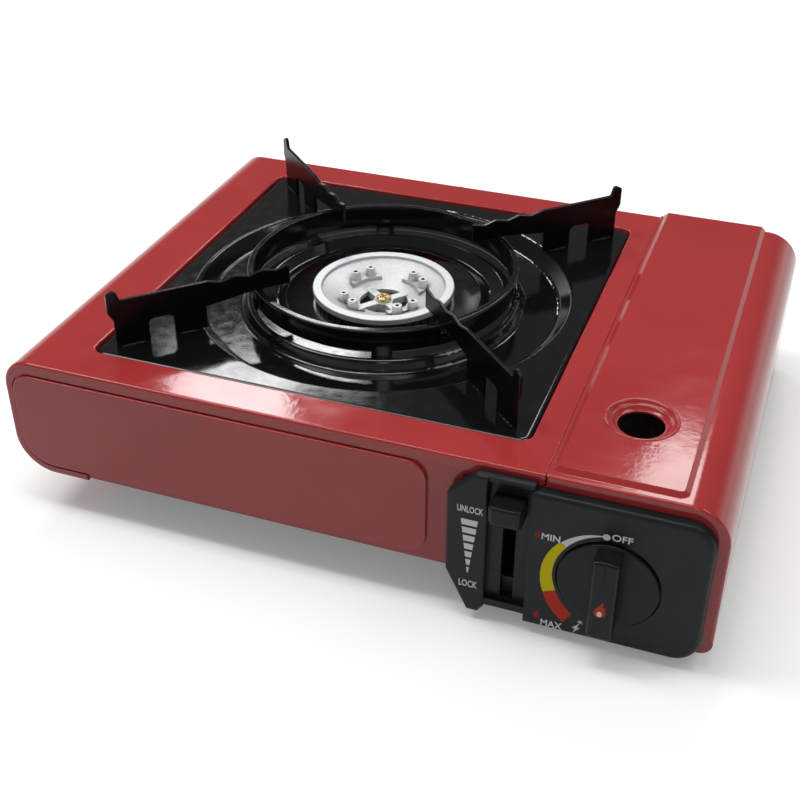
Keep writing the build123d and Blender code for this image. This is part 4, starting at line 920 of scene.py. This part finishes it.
@dataclass(frozen=True)
class PanelPrint:
    """Printed marks of the panel and the knob, in millimetres and degrees in the stove's frame."""

    knob_x: float = 124.8
    knob_z: float = 38.0
    rise: float = 0.06
    arc_step_angle: float = 3.0
    min_angle: float = -51.6
    middle_angle: float = -114.0
    max_angle: float = -146.8
    off_angle: float = -9.5
    taper_inner: Pair = (25.2, 24.2)
    taper_outer: Pair = (25.7, 27.3)
    low_gap_angle: float = 0.6
    low_inner: Pair = (24.0, 24.0)
    low_outer: Pair = (27.6, 30.0)
    high_gap_angle: float = 0.4
    high_inner: Pair = (24.1, 25.4)
    high_outer: Pair = (30.1, 32.2)
    low_flame: Pair = (93.3, 57.1)
    low_flame_height: float = 4.4
    high_flame: Pair = (95.4, 12.4)
    high_flame_height: float = 5.2
    spark: Pair = (113.2, 9.7)
    zigzag: Sequence[Pair] = (
        (0.9, 2.1), (-1.7, -0.6), (-0.2, -0.6), (-1.2, -3.4), (1.9, 0.2), (0.3, 0.2), (1.5, 2.1),
    )
    star_offset: Pair = (1.7, 3.6)
    star_reach: float = 1.25
    star_half: float = 0.17
    words: Sequence[Word] = (
        Word("OFF", (128.6, 63.9), 8.7, 3.5),
        Word("MIN", (99.1, 56.3), 8.0, 3.4),
        Word("MAX", (102.4, 8.1), 9.6, 3.8),
        Word("UNLOCK", (63.6, 61.4), 11.6, 3.5),
        Word("LOCK", (63.8, 19.9), 8.5, 3.8),
    )
    # Outline of the pointer groove's strip, painted near black as shade.
    knob_line: Sequence[Pair] = ((-0.3, 11.5), (0.3, 11.5), (0.3, 19.0), (-0.3, 19.0))
    knob_flame: Pair = (-0.4, -3.4)
    knob_flame_height: float = 9.0
    heart_rise: float = 0.096
    dot_radius: float = 1.6
    dot_ring: float = 25.3
    dot_angle: float = -6.3
    dot_corners: int = 24
    bar_count: int = 7
    bar_x: float = 63.4
    bar_top: float = 55.9
    bar_foot: float = 26.3
    bar_width: float = 7.6
    bar_end: float = 0.5
    bar_share: float = 0.7

    def point(self, angle: float, radius: float) -> Pair:
        """Finds a point round the knob.

        Args:
            angle: Degrees from straight up, to the right.
            radius: Distance from the knob's axis.

        Returns:
            The point across and up.
        """
        turn = math.radians(angle)
        return self.knob_x + radius * math.sin(turn), self.knob_z + radius * math.cos(turn)

    def band(self, start: float, end: float, inner: Pair, outer: Pair) -> Outline:
        """Draws a band round the knob whose width may change.

        Args:
            start: Angle of its first end.
            end: Angle of its other end.
            inner: Inner radius at each end.
            outer: Outer radius at each end.

        Returns:
            The band's outline.
        """
        count = max(2, round(abs(end - start) / self.arc_step_angle))
        shares = [step / count for step in range(count + 1)]

        def edge(radii: Pair) -> Outline:
            """Draws one edge of the band."""
            return [
                self.point(start + (end - start) * share, radii[0] + (radii[1] - radii[0]) * share)
                for share in shares
            ]

        return edge(outer) + edge(inner)[::-1]

    def dot(self) -> Outline:
        """Draws the round dot at the off end of the scale.

        Returns:
            The dot's outline.
        """
        x, z = self.point(self.dot_angle, self.dot_ring)
        turns = [math.tau * step / self.dot_corners for step in range(self.dot_corners)]
        return [(x + self.dot_radius * math.cos(t), z + self.dot_radius * math.sin(t)) for t in turns]

    def bars(self) -> list[Outline]:
        """Draws the lever's tapering row of bars."""
        pitch = (self.bar_top - self.bar_foot) / (self.bar_count - 1 + self.bar_share)
        rows = []
        for step in range(self.bar_count):
            top = self.bar_top - pitch * step
            foot = top - pitch * self.bar_share
            halves = []
            for z in (top, foot):
                share = (self.bar_top - z) / (self.bar_top - self.bar_foot)
                halves.append((self.bar_width + (self.bar_end - self.bar_width) * share) / 2)
            rows.append([
                (self.bar_x - halves[0], top), (self.bar_x + halves[0], top),
                (self.bar_x + halves[1], foot), (self.bar_x - halves[1], foot),
            ])
        return rows

    def bolt(self) -> list[Outline]:
        """Draws the spark: a zigzag arrow under a small star.

        Returns:
            The outlines of the zigzag and the star's three strokes.
        """
        zigzag = [(self.spark[0] + x, self.spark[1] + z) for x, z in self.zigzag]
        strokes = []
        middle = Vector(self.spark) + Vector(self.star_offset)
        for turn in (0.0, math.pi / 3, 2 * math.pi / 3):
            unit = Vector((math.cos(turn), math.sin(turn)))
            along = unit * self.star_reach
            side = Vector((-unit.y, unit.x)) * self.star_half
            corners = (
                middle - along - side, middle + along - side, middle + along + side, middle - along + side,
            )
            strokes.append([(corner.x, corner.y) for corner in corners])
        return [zigzag, *strokes]


class Casing(Assembly):
    """Red sheet casing, its plates, tray, partition and feet."""

    def build(self) -> None:
        """Dresses the casing's nodes."""
        self.dress(RED_PAINT, "main_casing", "back_plate", "canister_tray")
        self.dress(FRONT_PAINT, "front_plate")
        self.dress(DULL_ZINC, "base_plate")
        self.dress(ZINC_STEEL, "partition")
        self.dress(BRIGHT_STEEL, "back_plate_screws")
        self.dress(RUBBER, "left_feet", "right_feet")


@dataclass(frozen=True)
class HoleRimSizes:
    """Section of the rolled rim round the finger hole: radius and height over the lid, in millimetres."""

    crown: Sequence[Pair] = (
        (16.9, -0.2), (16.3, 0.5), (15.1, 0.5), (14.4, -0.7),
        (13.5, -1.3), (12.8, -1.1), (12.0, -2.4), (10.9, -3.0),
    )
    root: Sequence[Pair] = ((10.55, -3.4), (12.4, -3.6), (16.3, -0.6))
    step_count: int = 64
    smooth_steps: int = 2
    level_reach: float = 1.3


@dataclass(frozen=True)
class CanisterLid(Assembly):
    """Hinged lid over the canister bay."""

    rim: HoleRimSizes = HoleRimSizes()

    def build(self) -> None:
        """Dresses the lid, its pins and its catch and adds the finger hole's rim."""
        self.dress(RED_PAINT, "canister_lid")
        self.dress(DARK_STEEL, "lid_pivot_pins")
        self.dress(BRIGHT_STEEL, "lid_catch")
        piece = self.add("finger_hole_rim", self.hole_rim(), RED_PAINT, Body.LID, Slot.RED_PAINT)
        smooth = piece.modifiers.new("smooth", "SUBSURF")
        smooth.levels = self.rim.smooth_steps
        smooth.render_levels = self.rim.smooth_steps

    def hole_rim(self) -> Mesh:
        """Builds the rolled rim that lines the finger hole.

        Returns:
            The closed mesh of the rim.
        """
        openings = frame["record"]["physics"]["openings"]
        hole = next(item["box_m"] for item in openings if item["name"] == "lid_finger_hole")
        centre = (Vector(hole[0]) + Vector(hole[1])) / 2
        section = [(radius * MM, height * MM) for radius, height in (*self.rim.crown, *self.rim.root)]
        beside = Vector((centre.x - self.rim.level_reach * section[0][0], centre.y, CAD_BOX[1].z))
        level = first_hit("canister_lid", beside, DOWN).z
        bm = bmesh.new()
        rings = []
        for step in range(self.rim.step_count):
            turn = math.tau * step / self.rim.step_count
            rings.append([
                bm.verts.new((
                    centre.x + radius * math.cos(turn), centre.y + radius * math.sin(turn), level + height,
                ))
                for radius, height in section
            ])
        for step, ring in enumerate(rings):
            after = rings[(step + 1) % len(rings)]
            for corner in range(len(section)):
                bm.faces.new((ring[corner - 1], ring[corner], after[corner], after[corner - 1]))
        bmesh.ops.recalc_face_normals(bm, faces=bm.faces)
        return close_mesh("finger_hole_rim", bm, smooth=True)


@dataclass(frozen=True)
class WeldSizes:
    """Sizes of the beads that hold the arms to the collar ring and to the pan."""

    ring_radius: float = 1.2 * MM
    foot_radius: float = 1.1 * MM
    ripple: float = 0.22
    ripple_pitch: float = 3.1 * MM
    row_pitch: float = 0.5 * MM
    side_count: int = 10
    arm_half: float = 0.85 * MM
    sink: float = 0.25 * MM
    ring_foot: float = 0.3
    ring_top: float = 0.12
    end_share: float = 0.02
    end_curve: float = 0.35
    feet: Sequence[Pair] = ((96.5 * MM, 109.5 * MM), (125.0 * MM, 138.5 * MM))


@dataclass(frozen=True)
class PotStand(Assembly):
    """Enamelled drip pan with its collar ring and four pan arms."""

    weld: WeldSizes = WeldSizes()
    arms: Sequence[str] = (
        "support_arm_front_left",
        "support_arm_front_right",
        "support_arm_back_right",
        "support_arm_back_left",
    )

    def build(self) -> None:
        """Dresses the pan, ring and arms and adds the weld beads."""
        self.dress(BLACK_ENAMEL, "drip_pan", "support_ring")
        self.dress(ARM_ENAMEL, *self.arms)
        for arm in self.arms:
            name = arm.replace("support_arm", "arm_weld")
            self.add(name, self.welds(arm), ARM_ENAMEL, Body.PAN, Slot.BLACK_ENAMEL)

    def welds(self, arm: str) -> Mesh:
        """Builds the beads on both sides of one arm, at the ring and at its feet.

        Args:
            arm: Node of the arm.

        Returns:
            The mesh of the beads.
        """
        sizes = self.weld
        low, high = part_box("support_ring")
        centre = (low + high) / 2
        radius = (high.x - low.x) / 2
        arm_low, arm_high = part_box(arm)
        away = (arm_low + arm_high) / 2 - centre
        reach = arm_high - arm_low
        along = Vector((math.copysign(reach.x, away.x), math.copysign(reach.y, away.y), 0.0)).normalized()
        side = Vector((-along.y, along.x, 0.0)) * sizes.arm_half
        rise = high.z - low.z
        bm = bmesh.new()
        for turn in (-1, 1):
            root = centre + along * radius + side * turn
            foot = Vector((root.x, root.y, low.z + rise * sizes.ring_foot))
            top = Vector((root.x, root.y, high.z - rise * sizes.ring_top))
            self.bead(bm, foot, top, sizes.ring_radius)
            for span in sizes.feet:
                ends = [self.pan_point(centre + along * end + side * turn) for end in span]
                self.bead(bm, ends[0], ends[1], sizes.foot_radius)
        return close_mesh("weld", bm, smooth=True)

    def pan_point(self, over: Vector) -> Vector:
        """Drops a point onto the pan.

        Args:
            over: Point above or below the pan's surface.

        Returns:
            The point just under the pan's surface.
        """
        start = Vector((over.x, over.y, CAD_BOX[1].z))
        return first_hit("drip_pan", start, DOWN) + DOWN * self.weld.sink

    def bead(self, bm: bmesh.types.BMesh, start: Vector, end: Vector, radius: float) -> None:
        """Adds one softly rippled bead.

        Args:
            bm: Mesh to add to.
            start: First end of the bead.
            end: Other end of the bead.
            radius: Radius of the bead at its middle.
        """
        sizes = self.weld
        length = (end - start).length
        across = (end - start).orthogonal().normalized()
        over = (end - start).normalized().cross(across)
        count = round(length / sizes.row_pitch)
        turns = [math.tau * step / sizes.side_count for step in range(sizes.side_count)]
        rings = []
        for row in range(count + 1):
            share = row / count
            inner = min(max(share, sizes.end_share), 1.0 - sizes.end_share)
            swell = math.sin(math.pi * inner) ** sizes.end_curve
            wave = math.cos(math.tau * share * length / sizes.ripple_pitch)
            thick = radius * swell * (1.0 - sizes.ripple / 2 + sizes.ripple / 2 * wave)
            middle = start.lerp(end, share)
            rings.append([
                bm.verts.new(middle + (across * math.cos(turn) + over * math.sin(turn)) * thick)
                for turn in turns
            ])
        for lower, upper in zip(rings, rings[1:]):
            for step in range(sizes.side_count):
                after = (step + 1) % sizes.side_count
                bm.faces.new((lower[step], lower[after], upper[after], upper[step]))
        bm.faces.new(rings[0][::-1])
        bm.faces.new(rings[-1])


class Burner(Assembly):
    """Cast burner head on its mixing tube and bracket."""

    def build(self) -> None:
        """Dresses the burner's nodes."""
        self.dress(CAST_ALUMINIUM, "burner_head")
        # The port band's darker metal is painted shade under the rim.
        self.dress(PORT_SHADE, "flame_port_band")
        self.dress(ROUGH_CASTING, "burner_base")
        self.dress(BRASS, "burner_screw", "gas_jet")
        self.dress(ZINC_STEEL, "mixing_tube", "burner_bracket")
        self.dress(BRIGHT_STEEL, "bracket_screws")


class GasTrain(Assembly):
    """Regulator, canister seat and the clamp that pushes the canister."""

    def build(self) -> None:
        """Dresses the regulator, the seat and the clamp."""
        self.dress(ROUGH_CASTING, "regulator_body")
        self.dress(ZINC_STEEL, "clamp_cam_plate", "clamp_carriage", "notch_key")
        self.dress(BRIGHT_STEEL, "regulator_screws")
        self.dress(BRASS, "canister_seat")
        self.dress(RUBBER, "seat_seal")


class Igniter(Assembly):
    """Spark electrode, its ceramic, bracket, lead and piezo unit."""

    def build(self) -> None:
        """Dresses the igniter's nodes."""
        self.dress(ZINC_STEEL, "electrode_bracket")
        self.dress(WHITE_CERAMIC, "electrode_insulator")
        self.dress(BRIGHT_STEEL, "spark_electrode")
        self.dress(PANEL_PLASTIC, "piezo_igniter")
        self.dress(LEAD_COVER, "ignition_lead")


@dataclass(frozen=True)
class ApronSizes:
    """Sizes of the dark apron behind the lever slot, a sheet standing in for shade, in millimetres."""

    lap: float = 4.0
    nick: float = 2.5
    half_thickness: float = 0.4


@dataclass(frozen=True)
class Controls(Assembly):
    """Moulded control panel with its printed marks, gas knob and lock lever."""

    apron: ApronSizes = ApronSizes()
    marks: PanelPrint = PanelPrint()

    def build(self) -> None:
        """Dresses the panel, knob and lever, closes the slot's foot with a dark sheet standing in for
        shade, and prints the marks.
        """
        self.dress(PANEL_PLASTIC, "control_panel")
        self.dress(KNOB_PLASTIC, "gas_knob", "lock_lever")
        self.dress(BRIGHT_STEEL, "panel_screws")
        self.dress(DARK_STEEL, "lever_follower")
        self.dress(BRASS, "valve_stem")
        self.close_slot()
        self.print_panel()
        self.print_knob()

    def close_slot(self) -> None:
        """Adds a dark apron of panel plastic that closes the lever slot's lower end, from the base plate
        down; a sheet standing in for shade, so the slot reads dark.
        """
        sizes = self.apron
        left = LEVER_LOW.x / MM - sizes.lap
        right = LEVER_HIGH.x / MM + sizes.lap
        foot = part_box("front_plate")[0].z / MM
        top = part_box("base_plate")[0].z / MM
        corners = [(left, foot + sizes.nick), (left + sizes.nick, foot)]
        corners += [(right - sizes.nick, foot), (right, foot + sizes.nick)]
        outline = [*corners, (right, top), (left, top)]
        rise = sizes.half_thickness * MM
        # Dark sheet standing in for shade inside the slot.
        mesh = plate_mesh("slot_shade_sheet", [outline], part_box("front_plate")[1].y + rise, rise)
        self.add("slot_shade_sheet", mesh, PANEL_PLASTIC, Body.STOVE, Slot.PANEL_PLASTIC)

    def print_panel(self) -> None:
        """Prints the panel's words and signs."""
        marks = self.marks
        face = front_y("control_panel", marks.bar_x * MM, marks.bar_top * MM)
        rise = marks.rise * MM
        taper = marks.band(marks.off_angle, marks.min_angle, marks.taper_inner, marks.taper_outer)
        low_start = marks.min_angle - marks.low_gap_angle
        low = marks.band(low_start, marks.middle_angle, marks.low_inner, marks.low_outer)
        high_start = marks.middle_angle - marks.high_gap_angle
        high = marks.band(high_start, marks.max_angle, marks.high_inner, marks.high_outer)
        flame = Flame()
        signs = {
            "mark_off_dot": ([marks.dot()], WHITE_INK),
            "mark_off_taper": ([taper], WHITE_INK),
            "mark_low_band": ([low], YELLOW_INK),
            "mark_high_band": ([high], RED_INK),
            "mark_lock_bars": (marks.bars(), WHITE_INK),
            "mark_spark": (marks.bolt(), WHITE_INK),
            "mark_low_flame": ([flame.outline(marks.low_flame, marks.low_flame_height)], FLAME_INK),
            "mark_high_flame": ([flame.outline(marks.high_flame, marks.high_flame_height)], FLAME_INK),
        }
        for name, (outlines, ink) in signs.items():
            mesh = plate_mesh(name, outlines, face, rise)
            self.add(name, mesh, ink, Body.STOVE, Slot.PANEL_PLASTIC)
        for word in marks.words:
            name = "mark_word_" + word.text.lower()
            mesh = word_mesh(name, word, face, rise)
            self.add(name, mesh, WHITE_INK, Body.STOVE, Slot.PANEL_PLASTIC)

    def print_knob(self) -> None:
        """Prints the knob's flame sign and lays a near-black strip in its pointer groove as painted shade.
        """
        marks = self.marks
        face = front_y("gas_knob", marks.knob_x * MM, marks.knob_z * MM)
        rise = marks.rise * MM
        centre = (marks.knob_x + marks.knob_flame[0], marks.knob_z + marks.knob_flame[1])
        line = [(marks.knob_x + x, marks.knob_z + z) for x, z in marks.knob_line]
        flame = Flame()
        tall = marks.knob_flame_height
        pieces = {
            # Painted shade: near-black strip in the pointer groove.
            "knob_groove_shade": (line, GROOVE_SHADE, rise),
            "mark_knob_flame": (flame.outline(centre, tall), RED_INK, rise),
            "mark_knob_flame_heart": (flame.heart(centre, tall), WHITE_INK, marks.heart_rise * MM),
        }
        for name, (outline, ink, height) in pieces.items():
            self.add(name, plate_mesh(name, [outline], face, height), ink, Body.KNOB, Slot.KNOB_PLASTIC)


@dataclass(frozen=True)
class Lamp:
    """Soft rectangular lamp: place and target in metres, width and height, watts and its own turn."""

    name: str
    place: Triple
    target: Triple
    size: Pair
    power: float
    roll_angle: float = 0.0

    def hang(self) -> None:
        """Adds the lamp to the scene."""
        light = bpy.data.lights.new(self.name, "AREA")
        light.shape = "RECTANGLE"
        light.size, light.size_y = self.size
        light.energy = self.power
        lamp = bpy.data.objects.new(self.name, light)
        lamp.location = self.place
        away = Vector(self.target) - Vector(self.place)
        lamp.rotation_euler = away.to_track_quat("-Z", "Y").to_euler()
        lamp.rotation_euler.rotate_axis("Z", math.radians(self.roll_angle))
        bpy.context.scene.collection.objects.link(lamp)
        log.info("lamp %s of %.1f W", self.name, self.power)


@dataclass(frozen=True)
class Studio:
    """Pale floor, soft lights, white surroundings and the photograph's camera.

    Places are in metres, angles in degrees, and the lens and its sensor in millimetres.
    """

    camera_place: Triple = (0.1794, -0.5294, 0.3983)
    heading_angle: float = 20.13
    pitch_angle: float = 33.93
    focal_length: float = 56.84
    sensor_width: float = 36.0
    clip_span: Pair = (0.01, 50.0)
    floor_size: float = 14.0
    floor_pale: tuple[Colour, Colour] = ((0.9, 0.9, 0.9), (0.93, 0.93, 0.93))
    floor_bounce: Colour = (0.5, 0.5, 0.5)
    floor_cloud: float = 0.9
    floor_rough: float = 0.7
    floor_shine: float = 0.2
    floor_fade: Pair = (0.9, 2.6)
    floor_glow: Pair = (0.16, 0.6)
    world_light: float = 0.3
    world_dim: float = 0.13
    ceiling_span: Pair = (0.02, 0.36)
    lamps: Sequence[Lamp] = (
        Lamp("top_strip", (-0.45, -0.15, 1.5), (-0.45, 0.0, 0.0), (1.6, 0.3), 12.5),
        Lamp("left_softbox", (-0.85, -0.15, 1.45), (0.0, 0.0, 0.05), (0.7, 0.6), 3.6),
        Lamp("right_softbox", (0.95, 0.2, 1.4), (0.0, 0.0, 0.05), (0.7, 0.6), 4.6),
        Lamp("left_window", (-0.88, 1.35, 1.382), (-0.115, -0.112, 0.083), (0.25, 0.5), 4.6),
        Lamp("low_pane", (-0.722, 1.467, 1.114), (-0.06, -0.055, 0.081), (0.16, 0.1), 0.7),
        Lamp("right_window", (-0.02, 1.42, 1.55), (0.12, -0.085, 0.085), (0.27, 0.7), 5.4, -24.0),
        Lamp("camera_fill", (0.25, -0.75, 0.55), (0.0, 0.0, 0.05), (0.12, 0.08), 0.25),
    )

    def build(self) -> None:
        """Builds the floor, the world, the lamps and the camera."""
        self.floor()
        self.world()
        for lamp in self.lamps:
            lamp.hang()
        self.camera()

    def floor(self) -> None:
        """Builds the pale floor under the feet."""
        half = self.floor_size / 2
        mesh = bpy.data.meshes.new("studio_floor")
        corners = [(-half, -half, 0.0), (half, -half, 0.0), (half, half, 0.0), (-half, half, 0.0)]
        mesh.from_pydata(corners, [], [(0, 1, 2, 3)])
        floor = bpy.data.objects.new("studio_floor", mesh)
        bpy.context.scene.collection.objects.link(floor)
        floor.location.z = CAD_BOX[0].z
        g = Graph("pale_floor")
        seen = g.sums("MAXIMUM", *g.rays())
        pale = g.tint(g.noise(self.floor_cloud, 3.0), *self.floor_pale)
        colour = g.tint(seen, self.floor_bounce, pale)
        reach = g.node("ShaderNodeVectorMath", operation="LENGTH")
        g.link(g.place(), reach.inputs[0])
        glow = g.spread(reach.outputs["Value"], self.floor_fade, self.floor_glow)
        mesh.materials.append(g.finish(
            Base_Color=colour,
            Roughness=self.floor_rough,
            Specular_IOR_Level=self.floor_shine,
            Emission_Color=(1.0, 1.0, 1.0),
            Emission_Strength=g.sums("MULTIPLY", seen, glow),
        ))

    def world(self) -> None:
        """Builds white surroundings with a dim ceiling for the gloss."""
        world = bpy.data.worlds.new("studio_world")
        bpy.context.scene.world = world
        world.use_nodes = True
        g = Nodes(world.node_tree)
        height = g.axes(g.node("ShaderNodeTexCoord").outputs["Generated"])["Z"]
        ceiling = g.spread(height, self.ceiling_span, (1.0, self.world_dim), "SMOOTHSTEP")
        camera, mirrored = g.rays()
        around = g.shift(mirrored, self.world_light, ceiling)
        background = g.node("ShaderNodeBackground")
        g.feed(background.inputs["Color"], (1.0, 1.0, 1.0))
        g.feed(background.inputs["Strength"], g.shift(camera, around, 1.0))
        output = g.node("ShaderNodeOutputWorld")
        g.link(background.outputs["Background"], output.inputs["Surface"])

    def camera(self) -> None:
        """Sets the camera where the photograph was taken from."""
        data = bpy.data.cameras.new("camera")
        data.lens = self.focal_length
        data.sensor_width = self.sensor_width
        data.clip_start, data.clip_end = self.clip_span
        camera = bpy.data.objects.new("camera", data)
        camera.location = self.camera_place
        camera.rotation_euler = (
            math.radians(90.0 - self.pitch_angle), 0.0, math.radians(self.heading_angle)
        )
        bpy.context.scene.collection.objects.link(camera)
        bpy.context.scene.camera = camera


def main() -> None:
    """Builds the stove's looks and the studio round it."""
    logging.basicConfig(level=logging.INFO, format="%(message)s")
    bpy.context.scene.view_settings.view_transform = "Standard"
    assemblies: Sequence[Assembly] = (
        Casing(), CanisterLid(), PotStand(), Burner(), GasTrain(), Igniter(), Controls(),
    )
    for assembly in assemblies:
        log.info("building %s", type(assembly).__name__)
        assembly.build()
    Studio().build()


if __name__ == "__main__":
    main()
